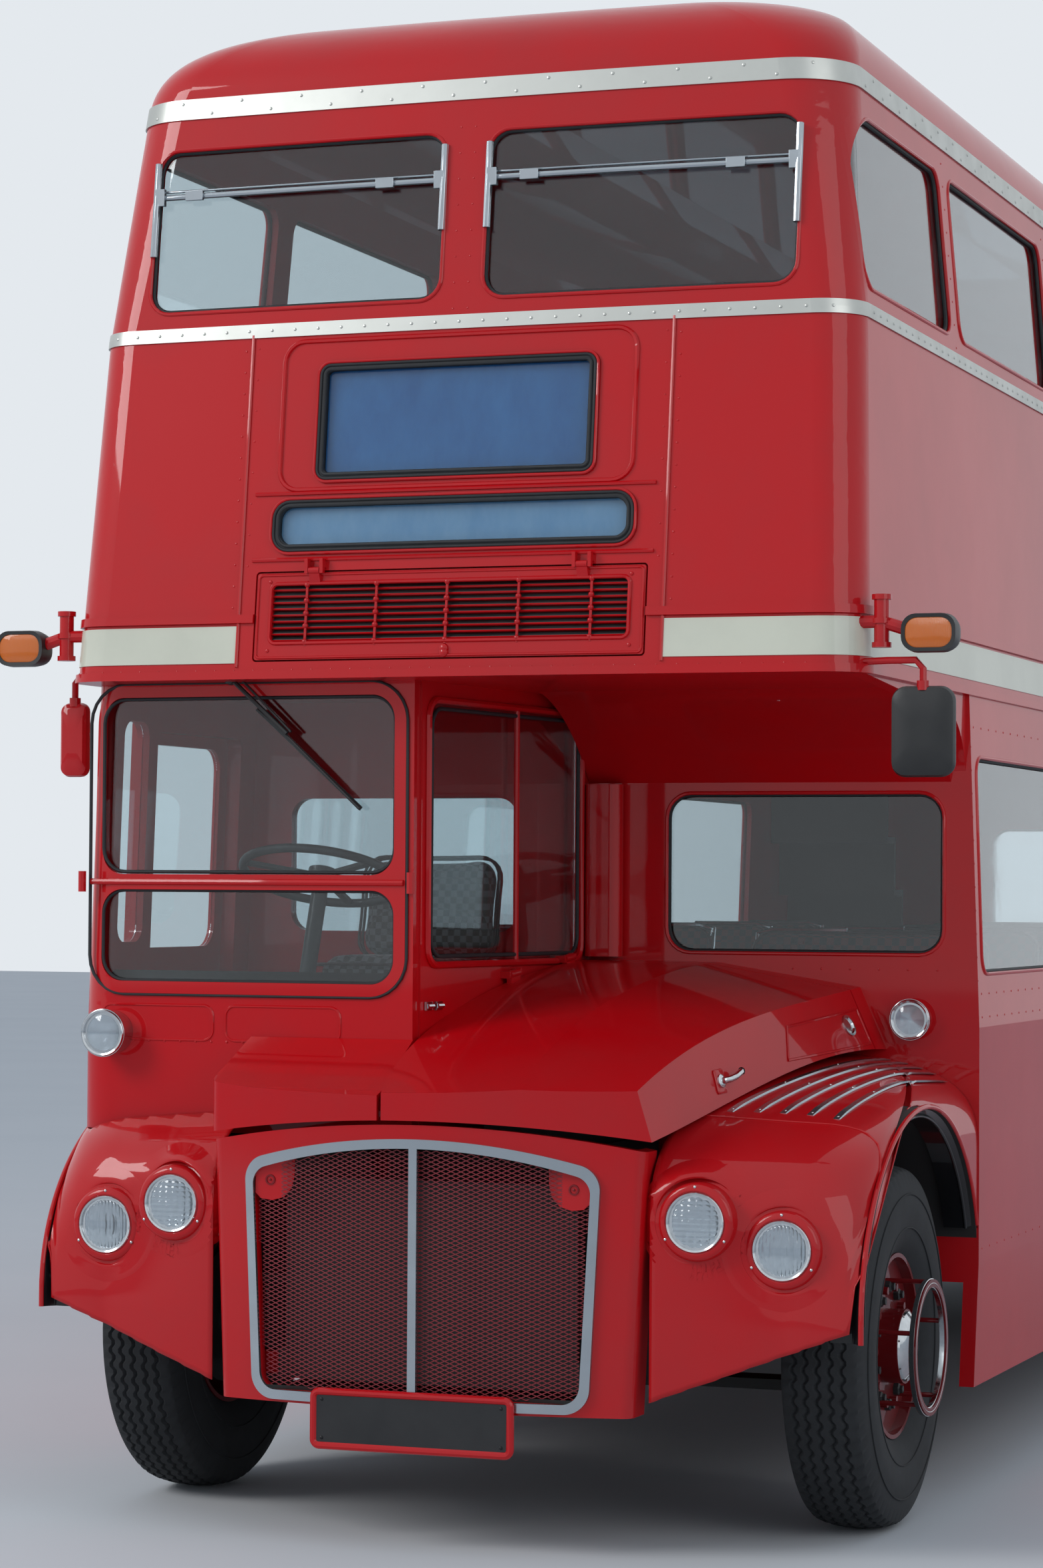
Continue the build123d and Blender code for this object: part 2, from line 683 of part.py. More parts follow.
cowl_top_z = cowl_crown + 10
grille_opening = arched(grille_half_low - grille_border, grille_half_top - grille_border,
                        grille_low + grille_border, grille_shoulder - grille_border,
                        grille_crown - grille_border, 50)
grille_outline = arched(grille_half_low, grille_half_top, grille_low, grille_shoulder, grille_crown, 70)

with BuildPart() as radiator_cowl:
    bow_prism(cowl_front, 0, cowl_low, cowl_top_z, cowl_half_low, cowl_half_top, cowl_back)
    bow_prism(cowl_front, cowl_wall, cowl_low + 25, cowl_top_z + 5, cowl_half_low, cowl_half_top,
              cowl_back + 5, Mode.SUBTRACT)
    extrude(to_extrude=arched(cowl_half_top + 50, cowl_half_top + 50, 0, cowl_shoulder, cowl_crown),
            amount=-cowl_back - 50, mode=Mode.INTERSECT)
    extrude(to_extrude=grille_opening, amount=-cowl_back, mode=Mode.SUBTRACT)
    block(-200, 200, 0, cowl_back, cowl_low - 1, cowl_low + 30, Mode.SUBTRACT)
    # Brackets that carry the cowl on the ends of the front crossmember
    block(beam_out + 0.3, cowl_half_low - 12, 150, 192, 450, 510)
    block(12 - cowl_half_low, -beam_out - 0.3, 150, 192, 450, 510)
finish(radiator_cowl, "radiator_cowl")

with BuildPart() as grille_surround:
    bow_prism(cowl_front, -12, cowl_low, cowl_top_z, cowl_half_low, cowl_half_top, cowl_back)
    bow_prism(cowl_front, 0, cowl_low - 5, cowl_top_z + 5, cowl_half_low, cowl_half_top,
              cowl_back + 5, Mode.SUBTRACT)
    extrude(to_extrude=grille_outline, amount=-cowl_back, mode=Mode.INTERSECT)
    with BuildSketch(across_plane(0)) as panes:
        add(grille_opening)
        with Locations((0, 750)):
            Rectangle(24, 900, mode=Mode.SUBTRACT)
    extrude(to_extrude=panes.sketch, amount=-cowl_back, mode=Mode.SUBTRACT)
    block(-plate_half, plate_half, 0, cowl_front, plate_low, plate_high, Mode.SUBTRACT)
finish(grille_surround, "grille_surround")

with BuildPart() as grille_mesh:
    bow_prism(cowl_front, mesh_inset, cowl_low + 5, cowl_top_z, cowl_half_low, cowl_half_top, cowl_back)
    bow_prism(cowl_front, mesh_inset + 3, cowl_low, cowl_top_z + 5, cowl_half_low, cowl_half_top,
              cowl_back + 5, Mode.SUBTRACT)
    extrude(to_extrude=grille_opening, amount=-cowl_back, mode=Mode.INTERSECT)
finish(grille_mesh, "grille_mesh")

# Fixed scuttle below the windscreen, from the cab front down to its lip
with BuildPart() as scuttle_hollow:
    with BuildSketch(Plane.YZ.offset(-cowl_half_top)) as scuttle_inside:
        with BuildLine():
            Polyline((at(0), 1050), (at(0), 1214), (at(60), 1228), (at(cab_front + 5), 1352),
                     (at(cab_front + 5), 1050), close=True)
        make_face()
    extrude(to_extrude=scuttle_inside.sketch, amount=2 * cowl_half_top)
    bow_prism(lip_panel_front, nose_skin, 900, 1500, cowl_half_top, cowl_half_top, 700, Mode.INTERSECT)

with BuildPart() as front_scuttle:
    with BuildSketch(Plane.YZ.offset(-cowl_half_top)) as scuttle_side:
        with BuildLine():
            Polyline((at(0), lip_shoulder_low), (at(0), 1236), (at(60), 1250), (at(cab_front), 1378),
                     (at(cab_front), lip_shoulder_low), close=True)
        make_face()
    extrude(to_extrude=scuttle_side.sketch, amount=cowl_half_top)
    bow_prism(lip_panel_front, 0, 900, 1500, cowl_half_top, cowl_half_top, 700, Mode.INTERSECT)
    add(scuttle_hollow.part, mode=Mode.SUBTRACT)
    extrude(to_extrude=arched(700, 700, 0, lip_shoulder_low, lip_crown_low), amount=-400,
            mode=Mode.SUBTRACT)
    with BuildSketch(Plane.XY.offset(1000)) as beside_lid:
        with BuildLine():
            Polyline((-102, at(-50)), (-141, at(cab_front + 5)), (300, at(cab_front + 5)), (300, at(-50)),
                     close=True)
        make_face()
    extrude(to_extrude=beside_lid.sketch, amount=600, mode=Mode.SUBTRACT)

# Bonnet lid, a curved shell hinged along the cab's inner wall
# Columns: distance, left edge x, left z, crown x, crown z, crease x, crease z, skirt x, skirt z
bonnet_rows = [
    (0.0, -93.0, 1242.0, 300.0, 1252.0, 606.0, 1228.0, 640.0, 1112.0),
    (400.0, wall_x(400.0) + 8, 1388.0, 300.0, 1402.0, 668.0, 1368.0, 714.0, 1187.0),
    (900.0, wall_x(900.0) + 8, 1522.0, 340.0, 1524.0, 752.0, 1458.0, 812.0, 1287.0),
    (bulkhead, wall_x(bulkhead) + 9, 1590.0, 400.0, 1586.0, 852.0, 1516.0, 934.0, 1330.0),
]


def bonnet_form(inset, front_extra=0.0):
    sections = []
    for d, left_x, left_z, crown_x, crown_z, crease_x, crease_z, skirt_x, skirt_z in bonnet_rows:
        place = d + (10 if inset and d > 1000 else 0)
        left = left_x - (60 if inset else 0)
        low = skirt_z - (60 if inset else 0)
        with BuildSketch(across_plane(place)) as section:
            with BuildLine():
                Polyline((left, low), (left, left_z - inset), (crown_x, crown_z - inset),
                         (crease_x - inset * 0.8, crease_z - inset), (skirt_x - inset, low), close=True)
            make_face()
        sections.append(section.sketch)
    with BuildPart() as form:
        loft(sections=sections)
        bow_prism(lip_panel_front, inset, 900, 1700, 1200, 1200, 1800, Mode.INTERSECT)
    return form.part


with BuildPart() as bonnet_shell:
    add(bonnet_form(0))
    add(bonnet_form(nose_skin), mode=Mode.SUBTRACT)
    extrude(to_extrude=arched(760, 760, 0, lip_shoulder_low, lip_crown_low), amount=-130,
            mode=Mode.SUBTRACT)

with BuildPart() as bonnet:
    add(bonnet_shell.part)
    block(-far, far, lid_rear, far, 0, far, Mode.SUBTRACT)
    for along in lid_hinge_places:
        with BuildSketch(lid_hinge_plane(along - 30)) as sleeve:
            Circle(12)
            with Locations((0, 21)):
                Rectangle(16, 34)
        extrude(to_extrude=sleeve.sketch, amount=60)
        with BuildSketch(lid_hinge_plane(along - 40)) as sleeve_bore:
            Circle(lid_pin_radius + running_fit)
        extrude(to_extrude=sleeve_bore.sketch, amount=80, mode=Mode.SUBTRACT)
finish(bonnet, "bonnet")

# Fixed panels round the lid: the scuttle ahead of the cab and the rail at the bulkhead
with BuildPart() as bonnet_fixed_panels:
    add(bonnet_shell.part)
    block(-far, far, 0, lid_rear + 6, 0, far, Mode.SUBTRACT)
    add(front_scuttle.part)
finish(bonnet_fixed_panels, "bonnet_fixed_panels")

# Wings: plan outlines joined level by level, hollow below and inside
wing_inner_x = cowl_half_top + 3
# Columns: height, front at the cowl, outer X, share of the sweep back
wing_levels = [
    (300.0, 118.0, 1216.0, 1.0),
    (930.0, 118.0, 1216.0, 1.0),
    (985.0, 126.0, 1216.0, 1.0),
    (1035.0, 147.0, 1216.0, 1.0),
    (1078.0, 184.0, 1215.0, 1.0),
    (1115.0, 236.0, 1211.0, 1.02),
    (1150.0, 312.0, 1202.0, 1.05),
    (1182.0, 410.0, 1186.0, 1.1),
    (1212.0, 530.0, 1162.0, 1.15),
    (1240.0, 670.0, 1128.0, 1.2),
    (1266.0, 830.0, 1078.0, 1.25),
    (1290.0, 1010.0, 1000.0, 1.2),
    (1310.0, 1220.0, 880.0, 0.8),
    (1322.0, 1400.0, 760.0, 0.3),
]
# Columns: share of the way out, sweep back in mm
wing_front_steps = [(0.0, 0.0), (0.225, 22.0), (0.623, 70.0)]
wing_sweep = 302.0


def wing_form(inset):
    grow = 200.0 if inset else 0.0
    back = at(bulkhead + grow)
    outlines = []
    for z, front, outer, share in wing_levels:
        span = outer - wing_inner_x
        steps = [(wing_inner_x + part * span, at(front + inset + sweep * share))
                 for part, sweep in wing_front_steps]
        steps[0] = (wing_inner_x - grow, steps[0][1])
        side_start = (outer - inset, min(at(front + inset + wing_sweep * share), at(bulkhead - 18)))
        bend = (wing_inner_x + 0.885 * span - 0.7 * inset,
                steps[2][1] + 0.32 * (side_start[1] - steps[2][1]))
        with BuildSketch(Plane.XY.offset(z if z < 400 else z - inset)) as outline:
            with BuildLine():
                Polyline(*steps)
                ThreePointArc(steps[2], bend, side_start)
                Polyline(side_start, (side_start[0], back), (steps[0][0], back), steps[0])
            make_face()
        outlines.append(outline.sketch)
    with BuildSketch(across_plane(0)) as underside:
        with BuildLine():
            Polyline((wing_inner_x - grow, 1400), (wing_inner_x - grow, 425 - grow),
                     (half_width, 640 - grow), (half_width, 1400), close=True)
        make_face()
    with BuildPart() as form:
        loft(sections=outlines, ruled=True)
        extrude(to_extrude=underside.sketch, amount=-3000, mode=Mode.INTERSECT)
    return form.part


# Columns: X of the lamp, front of the lamp, height
headlamp_rows = [(772.0, 147.0, 915.0), (1000.0, 195.0, 844.0)]
lamp_rim = 77.5
with BuildPart() as wing_both:
    add(wing_form(0))
    add(wing_form(nose_skin), mode=Mode.SUBTRACT)
    for x, front, z in headlamp_rows:
        with BuildSketch(across_plane(front - 26)) as pod:
            with Locations((x, z)):
                Circle(106)
        extrude(to_extrude=pod.sketch, amount=-64)
    for x, front, z in headlamp_rows:
        with BuildSketch(across_plane(front - 40)) as bore:
            with Locations((x, z)):
                Circle(lamp_rim + 0.5)
        extrude(to_extrude=bore.sketch, amount=-200, mode=Mode.SUBTRACT)
    extrude(to_extrude=arch_outline(), amount=far, both=True, mode=Mode.SUBTRACT)
    with BuildSketch(Plane.YZ.offset(half_width - 25)) as arch_bead:
        with Locations((at(arch_centre), arch_base_z)):
            Ellipse(arch_half + 16, arch_rise + 16)
            Ellipse(arch_half, arch_rise, mode=Mode.SUBTRACT)
            with Locations((0, -arch_rise)):
                Rectangle(2 * arch_half + 60, 2 * arch_rise, mode=Mode.SUBTRACT)
    extrude(to_extrude=arch_bead.sketch, amount=28)
    block(0, far, bulkhead, far, 0, far, Mode.SUBTRACT)

with BuildPart() as wing_nearside:
    add(wing_both.part)
finish(wing_nearside, "wing_nearside")

with BuildPart() as wing_offside:
    mirror(objects=wing_both.part, about=Plane.YZ)
    block(-far, 0, cab_front, far, cab_floor_under, far, Mode.SUBTRACT)
    block(-far, 0, 0, far, cab_floor_z, far, Mode.SUBTRACT)
finish(wing_offside, "wing_offside")

# Guards inside the front arches
with BuildPart() as arch_liners:
    for side, top in ((1, far), (-1, cab_floor_under)):
        with BuildSketch(Plane.YZ.offset(side * 700)) as liner:
            with Locations((at(arch_centre), arch_base_z)):
                Ellipse(arch_half, arch_rise)
                Ellipse(arch_half - 8, arch_rise - 8, mode=Mode.SUBTRACT)
                with Locations((0, -arch_rise)):
                    Rectangle(2 * arch_half + 60, 2 * arch_rise, mode=Mode.SUBTRACT)
        extrude(to_extrude=liner.sketch, amount=side * 512)
        low, high = sorted((0.0, side * far))
        block(low, high, 0, far, top, 2 * far, Mode.SUBTRACT)
    block(-far, far, bulkhead, far, 0, far, Mode.SUBTRACT)
finish(arch_liners, "arch_liners")

# Lamps, columns: x, front of the rim, height, rim radius, depth of the shell
lamp_rows = [
    (side * x, front - 34, z, lamp_rim, 60.0) for side in (-1, 1) for x, front, z in headlamp_rows
] + [(-1085.0, cab_front - 56, 1382.0, 62.6, 68.8), (1016.0, bulkhead - 44, 1422.0, 55.0, 40.0)]
with BuildPart() as front_lamps:
    for x, front, z, radius, depth in lamp_rows:
        with BuildSketch(across_plane(front)) as rim_ring:
            with Locations((x, z)):
                Circle(radius + 7)
                Circle(radius - 4, mode=Mode.SUBTRACT)
        extrude(to_extrude=rim_ring.sketch, amount=-8)
        with BuildSketch(across_plane(front + 4)) as shell:
            with Locations((x, z)):
                Circle(radius)
        extrude(to_extrude=shell.sketch, amount=-depth)
finish(front_lamps, "front_lamps")

with BuildPart() as number_plates:
    block(-plate_half, plate_half, 0, cowl_front, plate_low, plate_high)
    block(-260, 260, rear_end, rear_end + 12, 905, 1015)
finish(number_plates, "number_plates")

# Glass: a thin shell inside each panel, cut to the window openings
with BuildPart() as lower_glass:
    body_solid(lower_levels, glass_inset, skirt_z, lip_z)
    body_solid(lower_levels, glass_inset + glass, skirt_z - 5, lip_z + 5, Mode.SUBTRACT)
with BuildPart() as upper_glass:
    body_solid(upper_levels, glass_inset, lip_z, gutter_z)
    body_solid(upper_levels, glass_inset + glass, lip_z - 5, gutter_z + 5, Mode.SUBTRACT)

with BuildPart() as lower_side_glass:
    add(lower_glass.part)
    openings(lower_side_windows, Plane.YZ, far, Mode.INTERSECT)
with BuildPart() as upper_side_glass:
    add(upper_glass.part)
    openings(upper_side_windows, Plane.YZ, far, Mode.INTERSECT)
    extrude(to_extrude=light_sweep.sketch, amount=far, both=True, mode=Mode.SUBTRACT)
with BuildPart() as front_glass:
    add(upper_glass.part)
    block(-far, far, 0, front_split + 100, 0, far, Mode.INTERSECT)
    openings(front_windows, across_plane(lip_front), 600, Mode.INTERSECT)
with BuildPart() as rear_glass:
    add(upper_glass.part)
    openings(rear_upper_windows, across_plane(rear_end), 300, Mode.INTERSECT)
with BuildPart() as rear_lower_glass:
    add(lower_glass.part)
    openings(rear_lower_windows, across_plane(rear_end), 300, Mode.INTERSECT)

with BuildPart() as saloon_glazing:
    for panes in (upper_side_glass, front_glass, rear_glass, lower_side_glass, rear_lower_glass):
        add(panes.part)
    with BuildSketch(across_plane(bulkhead + glass_inset)) as bulkhead_panes:
        for across, up, wide, tall, corner in bulkhead_windows + cab_back_windows:
            with Locations((across, up)):
                RectangleRounded(wide, tall, corner)
    extrude(to_extrude=bulkhead_panes.sketch, amount=-glass)
finish(saloon_glazing, "saloon_glazing")

with BuildPart() as windscreen_glass:
    body_solid(lower_levels, 8, windscreen_low, lip_z)
    body_solid(lower_levels, 8 + glass, windscreen_low - 5, lip_z + 5, Mode.SUBTRACT)
    openings([upper_pane, lower_pane], across_plane(cab_front), 120, Mode.INTERSECT)
with BuildPart() as cab_light_glass:
    add(lower_glass.part)
    block(-far, 0, 0, bulkhead, 0, far, Mode.INTERSECT)
    openings(side_rows([cab_light_span], 1640, door_high, 50), Plane.YZ, far, Mode.INTERSECT)
with BuildPart() as cab_glazing:
    add(windscreen_glass.part)
    add(cab_light_glass.part)
    with BuildSketch(wall_plane.offset(-glass_inset)) as wall_pane:
        with Locations((wall_run / 2 + 10, 1966)):
            RectangleRounded(wall_run - 150, 750, 50)
    extrude(to_extrude=wall_pane.sketch, amount=-glass)
finish(cab_glazing, "cab_glazing")

# Blinds: a rubber surround and a back board in each pocket, open in front
with BuildPart() as blind_space:
    body_solid(upper_levels, -20, destination_low - 10, via_high + 10)
    body_solid(upper_levels, pocket_depth - 6, destination_low - 15, via_high + 15, Mode.SUBTRACT)
    openings([(0.0, via_row[1], via_row[2] - 56, via_row[3] - 56, 20.0),
              (0.0, destination_row[1], destination_row[2] - 56, destination_row[3] - 56, 40.0)],
             across_plane(lip_front), 400, Mode.INTERSECT)
with BuildPart() as blind_boxes:
    body_solid(upper_levels, -6, destination_low - 10, via_high + 10)
    body_solid(upper_levels, pocket_depth, destination_low - 15, via_high + 15, Mode.SUBTRACT)
    openings([via_row, destination_row], across_plane(lip_front), 400, Mode.INTERSECT)
    add(blind_space.part, mode=Mode.SUBTRACT)
finish(blind_boxes, "blind_boxes")

with BuildPart() as flap_plate:
    body_solid(upper_levels, 0, flap_low - 20, flap_high + 20)
    body_solid(upper_levels, flap_thick, flap_low - 25, flap_high + 25, Mode.SUBTRACT)
    openings([(0.0, (flap_low + flap_high) / 2, 2 * flap_half, flap_high - flap_low, 8.0)],
             across_plane(lip_front), 400, Mode.INTERSECT)
    openings([(0.0, (louvre_low + louvre_high) / 2, 2 * louvre_half, louvre_high - louvre_low, 8.0)],
             across_plane(lip_front), 400)

# Slanting slats right across the flap
with BuildPart() as louvres:
    with BuildSketch(Plane.YZ.offset(-louvre_half - 3)) as slats:
        for i in range(louvre_count):
            z = louvre_low + (i + 0.5) * louvre_pitch
            with Locations(Pos(at(face_d(300, z) + 13), z) * Rot(0, 0, 40)):
                Rectangle(20, 3)
    extrude(to_extrude=slats.sketch, amount=2 * louvre_half + 6)

with BuildPart() as vent_flap:
    add(flap_plate.part)
    add(louvres.part)
    for i in range(rod_count):
        x = -louvre_half + (i + 0.5) * 2 * louvre_half / rod_count
        z = louvre_low - 12
        with BuildSketch(Plane(origin=(x, at(face_d(x, z) + 1), z), x_dir=(1, 0, 0),
                               z_dir=(0, flap_slope, 1))) as rod:
            Circle(4)
        extrude(to_extrude=rod.sketch, amount=louvre_high - louvre_low + 24)
    for x in (-flap_hinge_x, flap_hinge_x):
        pin_d = face_d(x, flap_hinge_z) - flap_hinge_out
        with BuildSketch(Plane.YZ.offset(x - 16)) as flap_sleeve:
            with Locations((at(pin_d), flap_hinge_z)):
                Circle(10)
            with BuildLine():
                Polyline((at(pin_d - 8), flap_hinge_z), (at(pin_d + 4), flap_hinge_z),
                         (at(pin_d + flap_hinge_out + 6), flap_high - 12),
                         (at(pin_d + flap_hinge_out + 6), flap_high - 30),
                         (at(pin_d + 4), flap_high - 30), (at(pin_d - 8), flap_hinge_z), close=True)
            make_face()
        extrude(to_extrude=flap_sleeve.sketch, amount=32)
        with BuildSketch(Plane.YZ.offset(x - 40)) as flap_bore:
            with Locations((at(pin_d), flap_hinge_z)):
                Circle(flap_pin_radius + running_fit)
        extrude(to_extrude=flap_bore.sketch, amount=80, mode=Mode.SUBTRACT)
finish(vent_flap, "vent_flap")

# Sliding cab door outside the body side, on the rail below it
with BuildPart() as cab_door:
    body_solid(lower_levels, -33, door_low, door_high)
    body_solid(lower_levels, -8, door_low - 5, door_high + 5, Mode.SUBTRACT)
    block(-far, 0, cab_door_span[0] - 30, cab_door_span[1] + 30, 0, far, Mode.INTERSECT)
    openings(side_rows([(cab_door_span[0] + 40, cab_door_span[1] - 40)], 1620, door_high - 60, 70),
             Plane.YZ, far)
    block(-half_width - 62, -half_width - 30, cab_door_span[1] - 10, cab_door_span[1] + 10, 1440, 1580)
finish(cab_door, "cab_door")

with BuildPart() as cab_door_glass:
    body_solid(lower_levels, -24, door_low, door_high)
    body_solid(lower_levels, -18, door_low - 5, door_high + 5, Mode.SUBTRACT)
    block(-far, 0, 0, bulkhead, 0, far, Mode.INTERSECT)
    openings(side_rows([(cab_door_span[0] + 40, cab_door_span[1] - 40)], 1620, door_high - 60, 70),
             Plane.YZ, far, Mode.INTERSECT)
finish(cab_door_glass, "cab_door_glass")

# Folding platform doors: two pairs of leaves, pinned to the pillars and to each other
leaf_out = 1180.0
leaf_in = leaf_out - leaf_thick
leaf_low = doorway_low + 5
leaf_high = doorway_high - 6
pillar_pin_x = leaf_in - 8
pillar_pins = [doorway_front + 8, doorway_rear - 8]
mid_pin_x = leaf_out + 12
leaf_starts = [
    doorway_front + i * (leaf_width + leaf_gap) + (middle_gap - leaf_gap if i > 1 else 0.0)
    for i in range(4)
]
mid_pins = [leaf_starts[1] - leaf_gap / 2, leaf_starts[3] - leaf_gap / 2]
# Columns: low and high end of each pair of sleeves
sleeve_spans = [(470.0, 530.0), (2090.0, 2150.0)]
pillar_pin_radius = 8.0


def upright(x, d, radius, low, high, mode=Mode.ADD):
    with BuildSketch(Plane.XY.offset(low)) as bar:
        with Locations((x, at(d))):
            Circle(radius)
    extrude(to_extrude=bar.sketch, amount=high - low, mode=mode)


with BuildPart() as door_posts:
    for d, back in ((pillar_pins[0], -44), (pillar_pins[1], 44)):
        near, away = sorted((d, d + back))
        add(inside_slab(lower_inside, pillar_pin_x - 10, far, near, away, 2238, 2256))
    for d in pillar_pins:
        upright(pillar_pin_x, d, pillar_pin_radius, platform_z, 2256)
finish(door_posts, "door_posts")

for index, start in enumerate(leaf_starts):
    outer = index in (0, 3)
    with BuildPart() as leaf:
        block(leaf_in, leaf_out, start, start + leaf_width, leaf_low, leaf_high)
        with BuildSketch(Plane.YZ.offset(leaf_in - 10)) as leaf_lights:
            for z, tall in ((1640.0, 900.0), (740.0, 460.0)):
                with Locations((at(start + leaf_width / 2), z)):
                    RectangleRounded(leaf_width - 70, tall, 60)
        extrude(to_extrude=leaf_lights.sketch, amount=leaf_thick + 20, mode=Mode.SUBTRACT)
        pillar_d = pillar_pins[0] if index < 2 else pillar_pins[1]
        mid_d = mid_pins[0] if index < 2 else mid_pins[1]
        toward = 1 if index in (1, 3) else -1
        for low, high in sleeve_spans:
            if outer:
                upright(pillar_pin_x, pillar_d, 13, low, high)
                upright(pillar_pin_x, pillar_d, pillar_pin_radius + running_fit, low - 5, high + 5,
                        Mode.SUBTRACT)
                for z in (low - 12, high + 2):
                    near, away = sorted((mid_d - toward * 2, mid_d + toward * 24))
                    block(leaf_out - 2, mid_pin_x + 5, near, away, z, z + 10)
                upright(mid_pin_x, mid_d, leaf_pin, low - 12, high + 12)
            else:
                near, away = sorted((mid_d, mid_d + toward * 24))
                block(leaf_out - 2, mid_pin_x + 4, near, away, low, high)
                upright(mid_pin_x, mid_d, 10, low, high)
                upright(mid_pin_x, mid_d, leaf_pin + running_fit, low - 1, high + 1, Mode.SUBTRACT)
    finish(leaf, "door_leaf_" + str(index + 1))

# Staircase from the platform to the upper deck
step_count = 9
step_rise = (upper_floor_z - platform_z) / step_count
step_going = (stair_rear - stair_front) / (step_count - 1)
with BuildPart() as staircase:
    for i in range(step_count - 1):
        rear = stair_rear - i * step_going
        top = platform_z + (i + 1) * step_rise
        block(-1110, stair_inner_x - 20, rear - step_going - 25, rear, top - 30, top)
        block(-1110, stair_inner_x - 20, rear - 25, rear, top - step_rise, top)
    block(-1110, stair_inner_x - 20, stair_front - 0, stair_front + 25, upper_floor_z - step_rise - 30,
          upper_floor_z)
    block(-far, far, 0, stair_front, 0, far, Mode.SUBTRACT)
    block(-far, stair_inner_x - 20, stair_front, stair_front + 25, upper_floor_z, far, Mode.SUBTRACT)
finish(staircase, "staircase")

# Double seats, columns: front of the seat, side, floor height
upper_seats = [(960.0 + i * 740.0, side, upper_floor_z) for i in range(8) for side in (-1, 1)]
lower_seats = [(1760.0 + i * 740.0, side, lower_floor_z) for i in range(5) for side in (-1, 1)]


def double_seat(front, side, floor, base):
    low, high = sorted((side * 290.0, side * 1080.0))
    with BuildSketch(Plane.YZ.offset(low)) as seat_outline:
        with BuildLine():
            Polyline((at(front), base + 130), (at(front), base + 230), (at(front + 400), base + 210),
                     (at(front + 460), base + 780), (at(front + 530), base + 770),
                     (at(front + 470), base + 120), close=True)
        make_face()
    extrude(to_extrude=seat_outline.sketch, amount=high - low)
    middle = (low + high) / 2
    block(middle - 130, middle + 130, front + 120, front + 380, floor, base + 165)


with BuildPart() as saloon_seats:
    for front, side, floor in upper_seats + lower_seats:
        over_box = floor == lower_floor_z and front + 500 > box_front - 20 and front < box_rear + 20
        double_seat(front, side, floor, floor + 200 if not over_box else wheel_box_top - 100)
    for side in (-1, 1):
        low, high = sorted((side * (wheel_box_x - 20), side * far))
        block(low, high, box_front - 20, box_rear + 20, 0, wheel_box_top, Mode.SUBTRACT)
finish(saloon_seats, "saloon_seats")

# Mirrors on tube arms and indicator ears at the front corners of the upper deck
ear_d = 330.0
mirror_arm_z = 2425.0
# Columns: X, distance, half width, low end, high end
mirror_rows = [(1340.0, 330.0, 90.0, 2110.0, 2360.0), (-1266.0, 470.0, 43.0, 2126.0, 2350.0)]
_, lip_half, _, _, _ = level_at(upper_levels, lip_z)
with BuildPart() as mirrors:
    for x, d, half, low, high in mirror_rows:
        block(x - half, x + half, d - 20, d + 20, low, high)
        upright(x, d, 10, high, mirror_arm_z)
        with BuildSketch(Plane.YZ.offset(x)) as arm:
            with Locations((at(d), mirror_arm_z)):
                Circle(10)
        extrude(to_extrude=arm.sketch, amount=(1150 if x > 0 else -lip_half - 2 * seat_gap) - x)
    add(upper_shell.part, mode=Mode.SUBTRACT)
    body_solid(upper_levels, -0.3, lip_z, waist_z, Mode.SUBTRACT)
finish(mirrors, "mirrors")

with BuildPart() as indicator_ears:
    for side in (-1, 1):
        low, high = sorted((side * 1120.0, side * 1290.0))
        block(low, high, ear_d - 20, ear_d + 20, 2515, 2552)
        with BuildSketch(across_plane(ear_d - 40)) as ear:
            with Locations((side * 1362, 2500)):
                RectangleRounded(156, 108, 44)
        extrude(to_extrude=ear.sketch, amount=-80)
    add(upper_shell.part, mode=Mode.SUBTRACT)
    add(cream_bands.part, mode=Mode.SUBTRACT)
    add(upper_inside.part, mode=Mode.SUBTRACT)
finish(indicator_ears, "indicator_ears")

# Columns: X, height, radius
rear_lamp_rows = [(side * 1040.0, z, 45.0) for side in (-1, 1) for z in (1180.0, 1300.0, 1420.0)]
with BuildPart() as rear_lamps:
    with BuildSketch(across_plane(rear_end - 60)) as lenses:
        for x, z, radius in rear_lamp_rows:
            with Locations((x, z)):
                Circle(radius)
    extrude(to_extrude=lenses.sketch, amount=-80)
    add(lower_shell.part, mode=Mode.SUBTRACT)
    add(lower_inside.part, mode=Mode.SUBTRACT)
finish(rear_lamps, "rear_lamps")

# Front subframe: two beams, two crossmembers and the towing eye
beam_in = 380.0
beam_low = 520.0
beam_high = 640.0
arm_half = 60.0
arm_top = 652.0
arm_bottom = 380.0
arm_end = 40.0
tow_eye_d = 285.0
tow_eye_z = 452.0
tow_eye_bore = 16.0
tow_eye_thick = 24.0
with BuildPart() as front_subframe:
    for side in (-1, 1):
        low, high = sorted((side * beam_in, side * beam_out))
        block(low, high, 200, 2400, beam_low, beam_high)
    block(-beam_out, beam_out, front_axle - 100, front_axle + 100, arm_bottom, beam_low)
    block(-beam_out, beam_out, 140, 230, 440, beam_low)
    with BuildSketch(Plane.XY.offset(tow_eye_z - tow_eye_thick / 2)) as tow_eye:
        with Locations((0, at(tow_eye_d))):
            Circle(36)
            with Locations((0, -35)):
                Rectangle(72, 70)
            Circle(tow_eye_bore, mode=Mode.SUBTRACT)
    extrude(to_extrude=tow_eye.sketch, amount=tow_eye_thick)
finish(front_subframe, "front_subframe")

